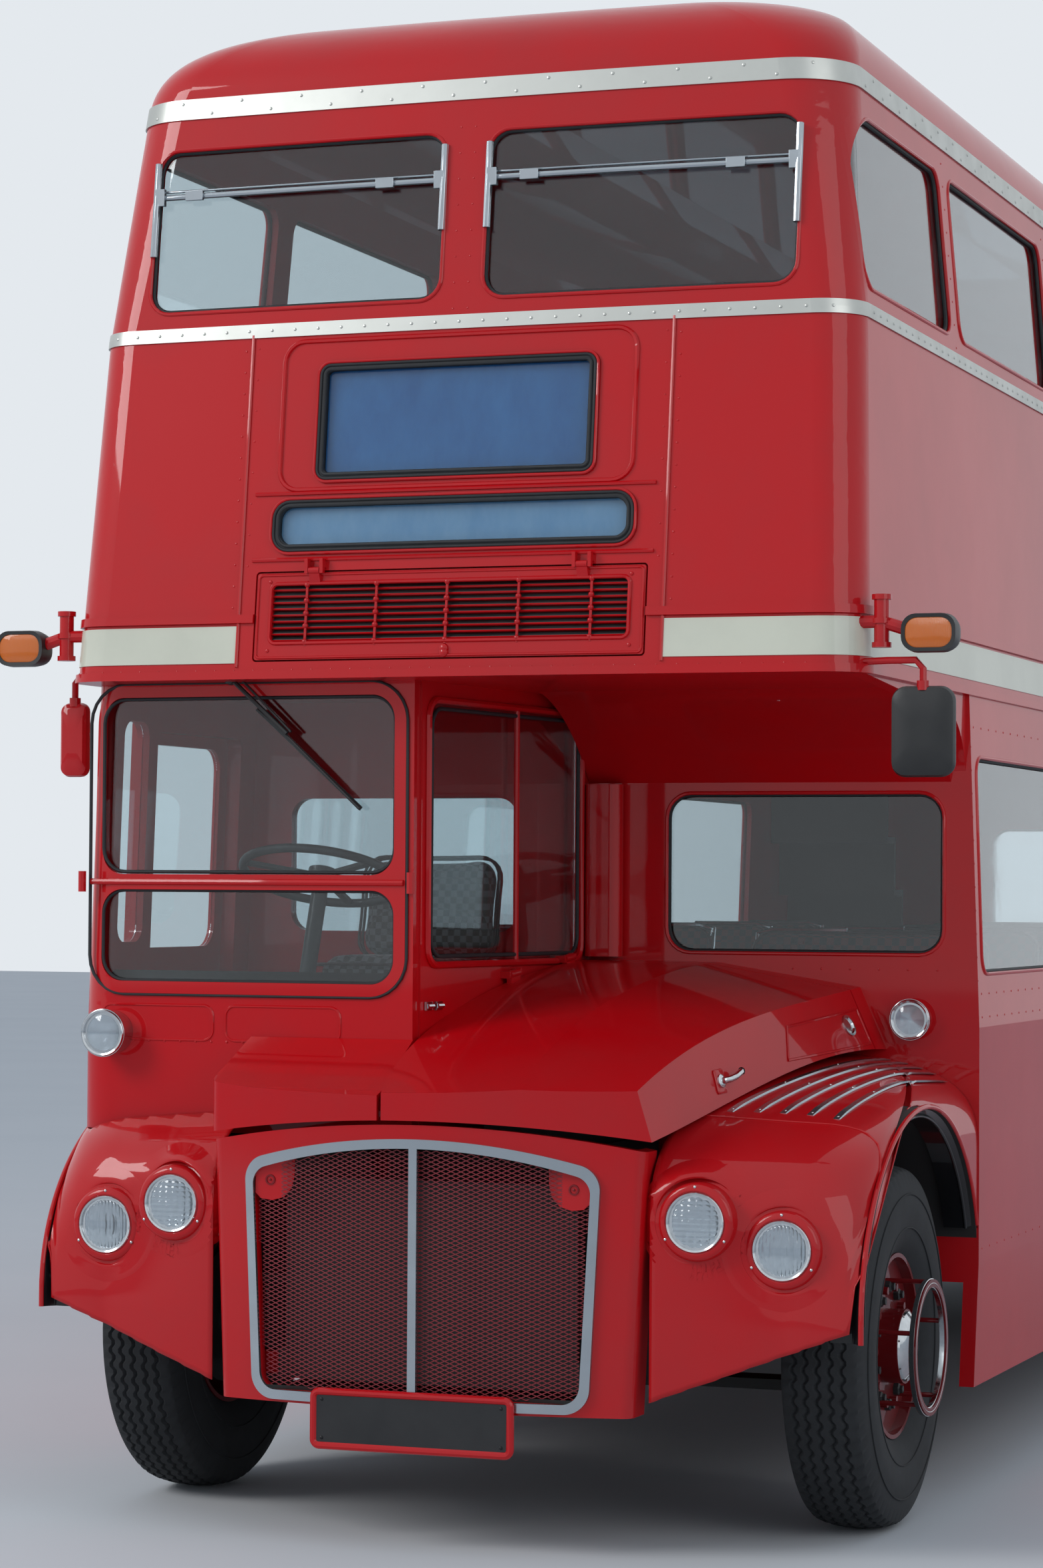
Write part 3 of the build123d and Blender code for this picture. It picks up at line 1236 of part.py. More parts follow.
# Fork arms that carry the kingpins, with the spring posts on them
with BuildPart() as front_axle_arms:
    for side in (-1, 1):
        with BuildSketch(Plane.XY.offset(arm_bottom)) as arm_plan:
            with BuildLine():
                Polyline((side * beam_out, at(front_axle) - arm_half),
                         (side * (kingpin_x - 50), at(front_axle) - arm_half),
                         (side * kingpin_x, at(front_axle) - arm_end),
                         (side * kingpin_x, at(front_axle) + arm_end),
                         (side * (kingpin_x - 50), at(front_axle) + arm_half),
                         (side * beam_out, at(front_axle) + arm_half), close=True)
            make_face()
            with Locations((side * kingpin_x, at(front_axle))):
                Circle(arm_end)
        extrude(to_extrude=arm_plan.sketch, amount=30)
        extrude(to_extrude=arm_plan.sketch.moved(Location((0, 0, arm_top - 30 - arm_bottom))), amount=30)
        upright(side * kingpin_x, front_axle, kingpin_radius, arm_bottom, arm_top)
        upright(side * 640.0, front_axle, 55, arm_top, 900)
        low, high = sorted((side * beam_in, side * 700.0))
        block(low, high, front_axle - arm_half, front_axle + arm_half, 900, 930)
        low, high = sorted((side * beam_in, side * beam_out))
        block(low, high, front_axle - arm_half, front_axle + arm_half, beam_high, 900)
finish(front_axle_arms, "front_axle_arms")

with BuildPart() as engine_and_radiator:
    block(-240, 240, 420, 1440, 530, 1060)
    block(30, 220, 480, 1400, 1060, 1250)
    for side in (-1, 1):
        for d in (520.0, 1300.0):
            low, high = sorted((side * 240.0, side * beam_in))
            block(low, high, d - 50, d + 50, 540, 620)
    block(-430, 430, 145, 199, 520, 1000)
    block(-60, 60, 199, 420, 700, 800)
finish(engine_and_radiator, "engine_and_radiator")


def ring(x_low, x_high, radius, bore, d, mode=Mode.ADD):
    # Ring or disc across the bus on a wheel centre line
    with BuildSketch(Plane.YZ.offset(x_low)) as band:
        with Locations((at(d), tyre_radius)):
            Circle(radius)
            if bore > 0:
                Circle(bore, mode=Mode.SUBTRACT)
    extrude(to_extrude=band.sketch, amount=x_high - x_low, mode=mode)


for name, side in (("knuckle_offside", -1), ("knuckle_nearside", 1)):
    with BuildPart() as knuckle:
        upright(side * kingpin_x, front_axle, 42, arm_bottom + 30.5, arm_top - 30.5)
        low, high = sorted((side * (kingpin_x + 20), side * 1140.0))
        ring(low, high, stub_radius, 0, front_axle)
        low, high = sorted((side * 965.0, side * 985.0))
        ring(low, high, 200, 0, front_axle)
        low, high = sorted((side * (kingpin_x + 20), side * 975.0))
        ring(low, high, 60, 0, front_axle)
        low, high = sorted((side * 840.0, side * kingpin_x))
        block(low, high, front_axle + 20, front_axle + 60, 440, 470)
        upright(side * kingpin_x, front_axle, kingpin_radius + running_fit, arm_bottom, arm_top,
                Mode.SUBTRACT)
    finish(knuckle, name)

# Tyre section, columns: half width across, radius
tyre_rows = [(85.0, rim_radius), (125.0, 385.0), (98.0, 500.0)]


def tyre(centre_x, d):
    with BuildSketch(Plane.XY) as section:
        with BuildLine():
            left = [(centre_x - half, at(d) + radius) for half, radius in tyre_rows]
            right = [(centre_x + half, at(d) + radius) for half, radius in reversed(tyre_rows)]
            Polyline(*left)
            ThreePointArc(left[-1], (centre_x, at(d) + tyre_radius), right[0])
            Polyline(*right)
            Line(right[-1], left[0])
        make_face()
    axis = Axis((0, at(d), 0), (1, 0, 0))
    with BuildPart() as form:
        revolve(profiles=section.sketch, axis=axis)
    return form.part.moved(Location((0, 0, tyre_radius)))


for name, side in (("offside", -1), ("nearside", 1)):
    with BuildPart() as front_tyre:
        add(tyre(side * front_track_half, front_axle))
    finish(front_tyre, "front_tyre_" + name)
    with BuildPart() as front_wheel:
        low, high = sorted((side * (front_track_half - 90), side * (front_track_half + 90)))
        ring(low, high, rim_radius, rim_radius - 12, front_axle)
        low, high = sorted((side * (front_track_half + 40), side * (front_track_half + 60)))
        ring(low, high, rim_radius - 11, 0, front_axle)
        low, high = sorted((side * (front_track_half - 25), side * (front_track_half + 120)))
        ring(low, high, 105, 0, front_axle)
        low, high = sorted((side * 1205.0, side * 1225.0))
        ring(low, high, 192, 170, front_axle)
        low, high = sorted((side * (front_track_half + 50), side * (front_track_half + 80)))
        with BuildSketch(Plane.YZ.offset(low)) as studs:
            with Locations((at(front_axle), tyre_radius)):
                with PolarLocations(stud_circle / 2, stud_count):
                    Circle(stud_radius)
        extrude(to_extrude=studs.sketch, amount=high - low)
        low, high = sorted((side * (front_track_half + 50), side * 1215.0))
        with BuildSketch(Plane.YZ.offset(low)) as stays:
            with Locations((at(front_axle), tyre_radius)):
                with PolarLocations(184, 5, start_angle=18):
                    Circle(7)
        extrude(to_extrude=stays.sketch, amount=high - low)
        low, high = sorted((side * (front_track_half - 30), side * (1160.0 - 15)))
        ring(low, high, stub_radius + running_fit, 0, front_axle, Mode.SUBTRACT)
    finish(front_wheel, "front_wheel_" + name)

with BuildPart() as rear_axle:
    ring(-1140, 1140, axle_tube_radius, 0, rear_axle_d)
    ring(-130, 130, 118, 0, rear_axle_d)
    for side in (-1, 1):
        upright(side * 520.0, rear_axle_d, 65, tyre_radius, floor_under)
finish(rear_axle, "rear_axle")

rear_inner_x = rear_outer_x - twin_spacing
for name, side in (("offside", -1), ("nearside", 1)):
    with BuildPart() as rear_tyres:
        for x in (rear_outer_x, rear_inner_x):
            add(tyre(side * x, rear_axle_d))
    finish(rear_tyres, "rear_tyres_" + name)
    with BuildPart() as rear_wheels:
        low, high = sorted((side * (rear_inner_x - 90), side * (rear_outer_x + 90)))
        ring(low, high, rim_radius, rim_radius - 12, rear_axle_d)
        low, high = sorted((side * (rear_inner_x + 100), side * (rear_inner_x + 150)))
        ring(low, high, rim_radius - 11, 0, rear_axle_d)
        low, high = sorted((side * (rear_inner_x - 60), side * (rear_outer_x + 70)))
        ring(low, high, 105, 0, rear_axle_d)
        low, high = sorted((side * (rear_inner_x + 140), side * (rear_inner_x + 175)))
        with BuildSketch(Plane.YZ.offset(low)) as rear_studs:
            with Locations((at(rear_axle_d), tyre_radius)):
                with PolarLocations(stud_circle / 2, stud_count):
                    Circle(stud_radius)
        extrude(to_extrude=rear_studs.sketch, amount=high - low)
        low, high = sorted((side * (rear_inner_x - 70), side * (rear_outer_x + 80)))
        ring(low, high, axle_tube_radius + running_fit, 0, rear_axle_d, Mode.SUBTRACT)
    finish(rear_wheels, "rear_wheels_" + name)
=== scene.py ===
import bpy
import bmesh
import json
import math
from mathutils import Vector, Matrix
from mathutils.bvhtree import BVHTree

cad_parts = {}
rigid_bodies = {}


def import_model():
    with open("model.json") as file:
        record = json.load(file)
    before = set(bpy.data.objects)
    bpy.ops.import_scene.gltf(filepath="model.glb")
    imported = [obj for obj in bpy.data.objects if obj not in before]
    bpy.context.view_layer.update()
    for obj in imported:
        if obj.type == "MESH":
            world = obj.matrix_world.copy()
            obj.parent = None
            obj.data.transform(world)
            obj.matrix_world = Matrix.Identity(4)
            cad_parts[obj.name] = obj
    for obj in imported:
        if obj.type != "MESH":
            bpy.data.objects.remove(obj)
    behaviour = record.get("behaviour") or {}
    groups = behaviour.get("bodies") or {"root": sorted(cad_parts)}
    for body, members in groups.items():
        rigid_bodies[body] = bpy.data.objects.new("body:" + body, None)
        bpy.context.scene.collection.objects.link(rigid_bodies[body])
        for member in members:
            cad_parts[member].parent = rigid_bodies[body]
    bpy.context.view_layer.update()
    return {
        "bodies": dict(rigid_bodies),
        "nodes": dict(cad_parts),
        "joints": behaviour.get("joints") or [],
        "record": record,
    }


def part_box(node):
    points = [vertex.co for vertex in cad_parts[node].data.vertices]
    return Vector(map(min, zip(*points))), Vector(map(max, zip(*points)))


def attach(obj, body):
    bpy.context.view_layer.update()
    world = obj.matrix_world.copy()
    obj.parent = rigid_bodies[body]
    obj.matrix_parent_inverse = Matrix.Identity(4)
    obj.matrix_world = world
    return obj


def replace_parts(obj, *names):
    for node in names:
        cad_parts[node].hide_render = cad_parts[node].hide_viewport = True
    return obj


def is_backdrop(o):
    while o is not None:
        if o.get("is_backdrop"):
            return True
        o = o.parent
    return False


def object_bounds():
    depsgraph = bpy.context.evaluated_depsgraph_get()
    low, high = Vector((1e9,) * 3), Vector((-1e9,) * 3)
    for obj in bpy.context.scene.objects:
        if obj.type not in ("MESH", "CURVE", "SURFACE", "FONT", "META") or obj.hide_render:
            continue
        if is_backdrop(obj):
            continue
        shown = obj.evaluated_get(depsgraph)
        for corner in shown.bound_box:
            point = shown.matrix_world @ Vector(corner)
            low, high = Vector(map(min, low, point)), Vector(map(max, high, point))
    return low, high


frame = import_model()
nodes = frame["nodes"]
print("frame loaded,", len(nodes), "nodes")


def hexToLinear(code, alpha=1.0):
    # sRGB hex to the linear values Blender wants
    parts = [int(code[i:i + 2], 16) / 255 for i in (1, 3, 5)]
    return tuple(p / 12.92 if p <= 0.04045 else ((p + 0.055) / 1.055) ** 2.4 for p in parts) + (alpha,)


def shaded(colour, share, lift=0.0):
    # a linear colour made darker, or dustier with a lift
    return tuple(c * share + lift for c in colour[:3]) + (1.0,)


def addNode(tree, kind, values=None, settings=None, links=None):
    # one node with its settings, its socket values and what feeds it
    node = tree.nodes.new(kind)
    for key, value in (settings or {}).items():
        setattr(node, key, value)
    for key, value in (values or {}).items():
        node.inputs[key].default_value = value
    for key, socket in (links or {}).items():
        tree.links.new(socket, node.inputs[key])
    return node


def addNoise(tree, place, scale, detail, rough=0.5):
    return addNode(tree, "ShaderNodeTexNoise", {"Scale": scale, "Detail": detail, "Roughness": rough},
                   links={"Vector": place}).outputs["Fac"]


def addBlend(tree, first, second, factor):
    return addNode(tree, "ShaderNodeMix", {"A": first, "B": second}, {"data_type": "RGBA"},
                   {"Factor": factor}).outputs["Result"]


def addRange(tree, value, low, high, start=0.0, end=1.0):
    # a value between start and end spread from low to high
    return addNode(tree, "ShaderNodeMapRange", {"From Min": start, "From Max": end, "To Min": low, "To Max": high},
                   links={"Value": value}).outputs[0]


def addBump(tree, height, strength, distance, under=None):
    # relief, on top of another relief where there is one
    feeds = {"Height": height, "Normal": under} if under else {"Height": height}
    return addNode(tree, "ShaderNodeBump", {"Strength": strength, "Distance": distance}, links=feeds).outputs[0]


def startMaterial(name):
    mat = bpy.data.materials.new(name)
    mat.use_nodes = True
    tree = mat.node_tree
    tree.nodes.clear()
    coords = addNode(tree, "ShaderNodeTexCoord")
    return mat, tree, coords.outputs["Object"]


def finishMaterial(mat, tree, values, links):
    shader = addNode(tree, "ShaderNodeBsdfPrincipled", values, links=links)
    addNode(tree, "ShaderNodeOutputMaterial", links={"Surface": shader.outputs[0]})
    return mat


def fromMesh(name, bm, material, body, smooth=True, bevel=0.0):
    mesh = bpy.data.meshes.new(name)
    bmesh.ops.recalc_face_normals(bm, faces=bm.faces)
    bm.to_mesh(mesh)
    bm.free()
    obj = bpy.data.objects.new(name, mesh)
    bpy.context.scene.collection.objects.link(obj)
    obj.data.materials.append(material)
    if smooth:
        obj.data.shade_smooth()
        obj.data.set_sharp_from_angle(angle=math.radians(35))
    if bevel:
        edge = obj.modifiers.new("softEdges", "BEVEL")
        edge.width = bevel
        edge.segments = 2
        edge.limit_method = "ANGLE"
    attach(obj, body)
    return obj


def castOnto(nodeName, start, direction):
    hit, place, normal, _ = nodes[nodeName].ray_cast(Vector(start), Vector(direction).normalized())
    if not hit:
        return None, None
    return place, normal


def circleOf(bm, centre, across, up, radius, sides):
    return [bm.verts.new(centre + (across * math.cos(a) + up * math.sin(a)) * radius)
            for a in [2 * math.pi * k / sides for k in range(sides)]]


def loopOf(bm, loop, x, y, z, growX=1.0, growZ=1.0):
    # the loop's points as vertices that stand across the bus
    return [bm.verts.new((x + a * growX, y, z + b * growZ)) for a, b in loop]


def bridgeRings(bm, rings, closed=False):
    # skin over closed rings of the same count, the last one joined to the first if closed
    for low, high in list(zip(rings, rings[1:])) + ([(rings[-1], rings[0])] if closed else []):
        for k in range(len(low)):
            after = (k + 1) % len(low)
            bm.faces.new((low[k], low[after], high[after], high[k]))


def addBox(bm, centre, size, turn=None):
    made = bmesh.ops.create_cube(bm, size=1.0)
    grow = Matrix.Diagonal((*size, 1.0))
    spin = turn.to_4x4() if turn else Matrix.Identity(4)
    bmesh.ops.transform(bm, matrix=Matrix.Translation(centre) @ spin @ grow, verts=made["verts"])


def addTube(bm, points, radius, sides=10, closed=False):
    # round bar through the points, rings set square to the run
    points = [Vector(p) for p in points]
    rings = []
    count = len(points)
    for i, point in enumerate(points):
        ahead = points[(i + 1) % count] if closed or i < count - 1 else point
        behind = points[i - 1] if closed or i > 0 else point
        along = (ahead - behind).normalized()
        if rings:
            across = (across - along * across.dot(along)).normalized()
        else:
            across = along.orthogonal().normalized()
        rings.append(circleOf(bm, point, across, along.cross(across), radius, sides))
    bridgeRings(bm, rings, closed)
    if not closed:
        bm.faces.new(reversed(rings[0]))
        bm.faces.new(rings[-1])


def addDome(bm, place, normal, radius, rise, sides=10):
    # low round head of a rivet or screw
    normal = Vector(normal).normalized()
    across = normal.orthogonal().normalized()
    up = normal.cross(across)
    rings = [circleOf(bm, Vector(place) + normal * rise * lift, across, up, radius * share, sides)
             for share, lift in ((1.0, -0.2), (0.82, 0.62), (0.42, 0.94))]
    top = bm.verts.new(Vector(place) + normal * rise)
    bridgeRings(bm, rings)
    for k in range(sides):
        bm.faces.new((rings[-1][k], rings[-1][(k + 1) % sides], top))


def addLathe(bm, centre, axis, profile, sides=48):
    # turned form. Profile: list of (along the axis, radius)
    leastRadius = 0.0002
    axis = Vector(axis).normalized()
    across = axis.orthogonal().normalized()
    up = axis.cross(across)
    bridgeRings(bm, [circleOf(bm, Vector(centre) + axis * along, across, up, max(radius, leastRadius), sides)
                     for along, radius in profile])


def glossCoachEnamel(name, code, coat=0.6, rough=0.42, dust=0.1):
    # synthetic coach enamel rolled and flatted on aluminium panels: deep gloss,
    # a faint orange peel of about 2 mm and slow waves between the rivets
    mat, tree, place = startMaterial(name)
    peel = addNoise(tree, place, 420.0, 2.0)
    wave = addNoise(tree, place, 3.2, 1.0)
    grime = addNoise(tree, place, 1.4, 7.0, 0.62)
    ramp = addNode(tree, "ShaderNodeValToRGB", links={"Fac": grime})
    ramp.color_ramp.elements[0].position = 0.38
    ramp.color_ramp.elements[1].position = 0.75
    base = hexToLinear(code)
    tint = addBlend(tree, base, shaded(base, 0.82, 0.01), ramp.outputs["Color"])
    relief = addBump(tree, wave, 0.35, 0.004, addBump(tree, peel, 0.18, 0.0006))
    return finishMaterial(
        mat, tree, {"Coat Weight": coat, "Coat Roughness": 0.03, "Coat IOR": 1.5, "Specular IOR Level": 0.1},
        {"Base Color": tint, "Roughness": addRange(tree, grime, rough - 0.06, rough + dust), "Normal": relief})


def polishedAluminium(name, code, rough=0.28, grainScale=240.0):
    # rolled aluminium strip, polished by hand: soft streaks along it, a little grey bloom
    mat, tree, place = startMaterial(name)
    stretch = addNode(tree, "ShaderNodeMapping", {"Scale": (0.12, 0.12, 1.0)}, links={"Vector": place})
    streak = addNoise(tree, stretch.outputs[0], grainScale, 1.0)
    bloom = addNoise(tree, place, 9.0, 6.0)
    base = hexToLinear(code)
    return finishMaterial(
        mat, tree, {"Metallic": 0.9},
        {"Base Color": addBlend(tree, base, shaded(base, 0.72), bloom),
         "Roughness": addRange(tree, bloom, rough - 0.06, rough + 0.08), "Normal": addBump(tree, streak, 0.01, 0.0002)})


def chromePlate(name):
    # chromium plate on steel: near mirror, with fine polishing haze
    mat, tree, place = startMaterial(name)
    haze = addNoise(tree, place, 60.0, 5.0)
    tone = addBlend(tree, hexToLinear("#dfe2e4"), hexToLinear("#b9bdc0"), haze)
    return finishMaterial(mat, tree, {"Metallic": 1.0},
                          {"Base Color": tone, "Roughness": addRange(tree, haze, 0.04, 0.2)})


def mouldedRubber(name, code="#17181a", rough=0.62, grain=1400.0):
    # vulcanised rubber: dull black with a chalky bloom and a fine mould grain
    mat, tree, place = startMaterial(name)
    fine = addNoise(tree, place, grain, 2.0)
    chalk = addNoise(tree, place, 14.0, 8.0, 0.7)
    return finishMaterial(
        mat, tree, {"Roughness": rough, "Specular IOR Level": 0.4},
        {"Base Color": addBlend(tree, hexToLinear(code), hexToLinear("#2f3134"), chalk),
         "Normal": addBump(tree, fine, 0.3, 0.0006)})


def toughenedFloatGlass(name, code="#dfe9ec", rough=0.0):
    # 6 mm toughened float glass, faintly green, with a film of road dust
    mat, tree, place = startMaterial(name)
    film = addNoise(tree, place, 5.0, 8.0, 0.7)
    return finishMaterial(mat, tree, {"Base Color": hexToLinear(code), "Transmission Weight": 1.0, "IOR": 1.5},
                          {"Roughness": addRange(tree, film, rough, rough + 0.05, 0.45, 0.8)})


def satinPaint(name, code, rough=0.5, patch=6.0, spread=0.3):
    # brushed enamel or stove paint inside and under the bus: satin, rubbed and dusty
    mat, tree, place = startMaterial(name)
    wear = addNoise(tree, place, patch, 8.0, 0.65)
    brush = addNoise(tree, place, 240.0, 2.0)
    base = hexToLinear(code)
    return finishMaterial(
        mat, tree, {},
        {"Base Color": addBlend(tree, base, shaded(base, 1 - spread, 0.02), wear),
         "Roughness": addRange(tree, wear, rough - 0.1, rough + 0.2), "Normal": addBump(tree, brush, 0.2, 0.0006)})


def wovenMoquette(name, dark="#1c2a33", light="#7d2a2a", check=0.024):
    # cut pile seat moquette, 24 mm checks in two colours over a 1.5 mm weave
    mat, tree, place = startMaterial(name)
    checks = addNode(tree, "ShaderNodeTexChecker",
                     {"Scale": 1 / check, "Color1": hexToLinear(dark), "Color2": hexToLinear(light)},
                     links={"Vector": place})
    weave = addNode(tree, "ShaderNodeTexVoronoi", {"Scale": 420.0}, links={"Vector": place})
    wear = addNoise(tree, place, 8.0, 6.0)
    faded = addNode(tree, "ShaderNodeMix", {"B": hexToLinear("#5a4c44")}, {"data_type": "RGBA"},
                    {"Factor": wear, "A": checks.outputs["Color"]})
    return finishMaterial(mat, tree, {"Roughness": 0.9, "Sheen Weight": 0.35, "Sheen Roughness": 0.5},
                          {"Base Color": faded.outputs["Result"],
                           "Normal": addBump(tree, weave.outputs["Distance"], 0.6, 0.001)})


def mouldedLens(name, code, ribs=0.004):
    # moulded acrylic lamp lens with 4 mm flutes inside
    mat, tree, place = startMaterial(name)
    flutes = addNode(tree, "ShaderNodeTexWave", {"Scale": 0.5 / ribs, "Distortion": 0.0}, {"bands_direction": "X"},
                     {"Vector": place})
    return finishMaterial(
        mat, tree, {"Base Color": hexToLinear(code), "Roughness": 0.18, "Coat Weight": 0.6, "Subsurface Weight": 0.12,
                    "Subsurface Radius": (0.01, 0.004, 0.002)},
        {"Normal": addBump(tree, flutes.outputs["Fac"], 0.5, 0.001)})


def blindLinenPaintedReflection(name, code, faded):
    # linen of the blinds behind glass, left bare. Its blue is painted reflection, the sky seen on the glass over black
    # linen, paler in upright streaks; faint thread
    mat, tree, place = startMaterial(name)
    hang = addNode(tree, "ShaderNodeMapping", {"Scale": (1.6, 1.0, 0.7)}, links={"Vector": place})
    fold = addNoise(tree, hang.outputs[0], 7.0, 6.0, 0.65)
    thread = addNode(tree, "ShaderNodeTexWave", {"Scale": 300.0}, {"bands_direction": "Z"}, {"Vector": place})
    return finishMaterial(mat, tree, {"Roughness": 0.55, "Coat Weight": 0.5},
                          {"Base Color": addBlend(tree, hexToLinear(code), hexToLinear(faded), fold),
                           "Normal": addBump(tree, thread.outputs["Fac"], 0.05, 0.0004)})


def lampGlass(name):
    # pressed soda glass lens, clear, a little seedy, over a bright bowl
    mat, tree, place = startMaterial(name)
    seeds = addNoise(tree, place, 120.0, 3.0)
    return finishMaterial(
        mat, tree, {"Base Color": hexToLinear("#cfdae2"), "Roughness": 0.05, "Transmission Weight": 0.8, "IOR": 1.5,
                    "Coat Weight": 0.6}, {"Normal": addBump(tree, seeds, 0.15, 0.0006)})


coachRed = glossCoachEnamel("coachEnamelRed", "#c40410")
# a darker copy of the coach red enamel: painted shade, worn by the grille latches
coachRedPaintedShade = glossCoachEnamel("coachEnamelPaintedShade", "#7d0610")
creamEnamel = glossCoachEnamel("creamEnamel", "#d9d9c6", rough=0.36)
bandAluminium = polishedAluminium("bandAluminium", "#c9cbc6", rough=0.36)
brightTrim = polishedAluminium("brightTrim", "#b9c0c6", rough=0.16)
lampBowl = polishedAluminium("lampBowlSilver", "#7f878e", rough=0.14)
chrome = chromePlate("chromePlate")
blackRubber = mouldedRubber("glazingRubber")
tyreRubber = mouldedRubber("tyreRubber", "#121314", rough=0.78, grain=900.0)
windowGlass = toughenedFloatGlass("toughenedGlass")
meshPaint = satinPaint("meshEnamel", "#8a1020", rough=0.4)
blackStove = satinPaint("blackStovePaint", "#111214", rough=0.42)
blackGloss = glossCoachEnamel("blackCoachEnamel", "#0a0b0e", rough=0.3)
chassisBlack = satinPaint("chassisBlack", "#131110", rough=0.68, spread=0.1)
wheelRed = glossCoachEnamel("wheelEnamel", "#6d0d12", rough=0.45)
floorCork = satinPaint("deckLinoleum", "#3b2a22", rough=0.6)
moquette = wovenMoquette("seatMoquette")
driverCloth = wovenMoquette("driverSeatCloth", "#15161a", "#8f9398", 0.02)
seatLeather = satinPaint("seatHidePiping", "#3a1210", rough=0.5)
amberLens = mouldedLens("amberLens", "#d4690c")
redLens = mouldedLens("redLens", "#8d0a0c")
blackMoulding = satinPaint("blackMoulding", "#0d0e10", rough=0.4)
plateBlack = satinPaint("blackPlate", "#101114", rough=0.3)
# the blues of the two blinds are painted reflection of the sky on their glass, over black linen
viaLinenPaintedReflection = blindLinenPaintedReflection("viaBlindPaintedReflection", "#0f5fa6", "#3f8fcf")
destinationLinenPaintedReflection = blindLinenPaintedReflection("destinationBlindPaintedReflection", "#5c9fd4", "#9cc8e8")
fluteGlass = lampGlass("flutedLampGlass")

nodeFinish = {
    coachRed: ["upper_front_panel", "upper_side_offside", "upper_side_nearside", "upper_rear_panel", "roof",
               "lower_side_offside", "lower_side_nearside", "lower_rear_wall", "cab_front", "windscreen_frame",
               "bulkhead", "cab_inner_wall", "canopy", "radiator_cowl", "bonnet_fixed_panels", "bonnet",
               "vent_flap", "cab_door", "door_leaf_1", "door_leaf_2", "door_leaf_3", "door_leaf_4"],
    creamEnamel: ["cream_bands"],
    bandAluminium: ["trim_bands"],
    brightTrim: ["grille_surround", "door_posts"],
    chrome: ["front_lamps"],
    meshPaint: ["grille_mesh"],
    blackRubber: ["blind_boxes"],
    tyreRubber: ["front_tyre_offside", "front_tyre_nearside", "rear_tyres_offside", "rear_tyres_nearside"],
    windowGlass: ["saloon_glazing", "cab_glazing", "cab_door_glass"],
    chassisBlack: ["front_subframe", "front_axle_arms", "engine_and_radiator", "knuckle_offside", "knuckle_nearside",
                   "rear_axle", "arch_liners"],
    wheelRed: ["front_wheel_offside", "front_wheel_nearside", "rear_wheels_offside", "rear_wheels_nearside"],
    floorCork: ["upper_floor", "lower_floor", "staircase"],
    blackStove: ["cab_floor", "steering_wheel", "mirrors"],
    moquette: ["saloon_seats"],
    driverCloth: ["driver_seat"],
    amberLens: ["indicator_ears"],
    redLens: ["rear_lamps"],
    plateBlack: ["number_plates"],
}
for finish, names in nodeFinish.items():
    for nodeName in names:
        nodes[nodeName].data.materials.clear()
        nodes[nodeName].data.materials.append(finish)
print("materials made")

# The camera stands where the photograph was taken, turned by these angles in radians
cameraSet = {"x": 3.83833, "y": -13.87266, "z": 1.79992, "yaw": 0.3495, "pitch": 0.028, "roll": 0.0062,
             "lens": 87.64}


def placeCamera(s):
    level = math.cos(s["pitch"])
    look = Vector((-math.sin(s["yaw"]) * level, math.cos(s["yaw"]) * level, math.sin(s["pitch"])))
    right = Vector((math.cos(s["yaw"]), math.sin(s["yaw"]), 0))
    up = right.cross(look)
    tiltedRight = right * math.cos(s["roll"]) + up * math.sin(s["roll"])
    tiltedUp = up * math.cos(s["roll"]) - right * math.sin(s["roll"])
    data = bpy.data.cameras.new("photoCamera")
    data.lens = s["lens"]
    data.sensor_width = 36.0
    data.clip_end = 200.0
    cam = bpy.data.objects.new("photoCamera", data)
    turn = Matrix((tiltedRight, tiltedUp, -look)).transposed()
    cam.matrix_world = Matrix.Translation((s["x"], s["y"], s["z"])) @ turn.to_4x4()
    bpy.context.scene.collection.objects.link(cam)
    bpy.context.scene.camera = cam


placeCamera(cameraSet)

# Pale floor, soft sky, one large key light and a weak fill
studio = {"floor": "#d9dadb", "cloud": "#cfd1d3", "sky": "#c9d6e6", "seenSky": "#e4e9ee", "skyStrength": 0.68,
          "key": 1000.0, "fill": 210.0}


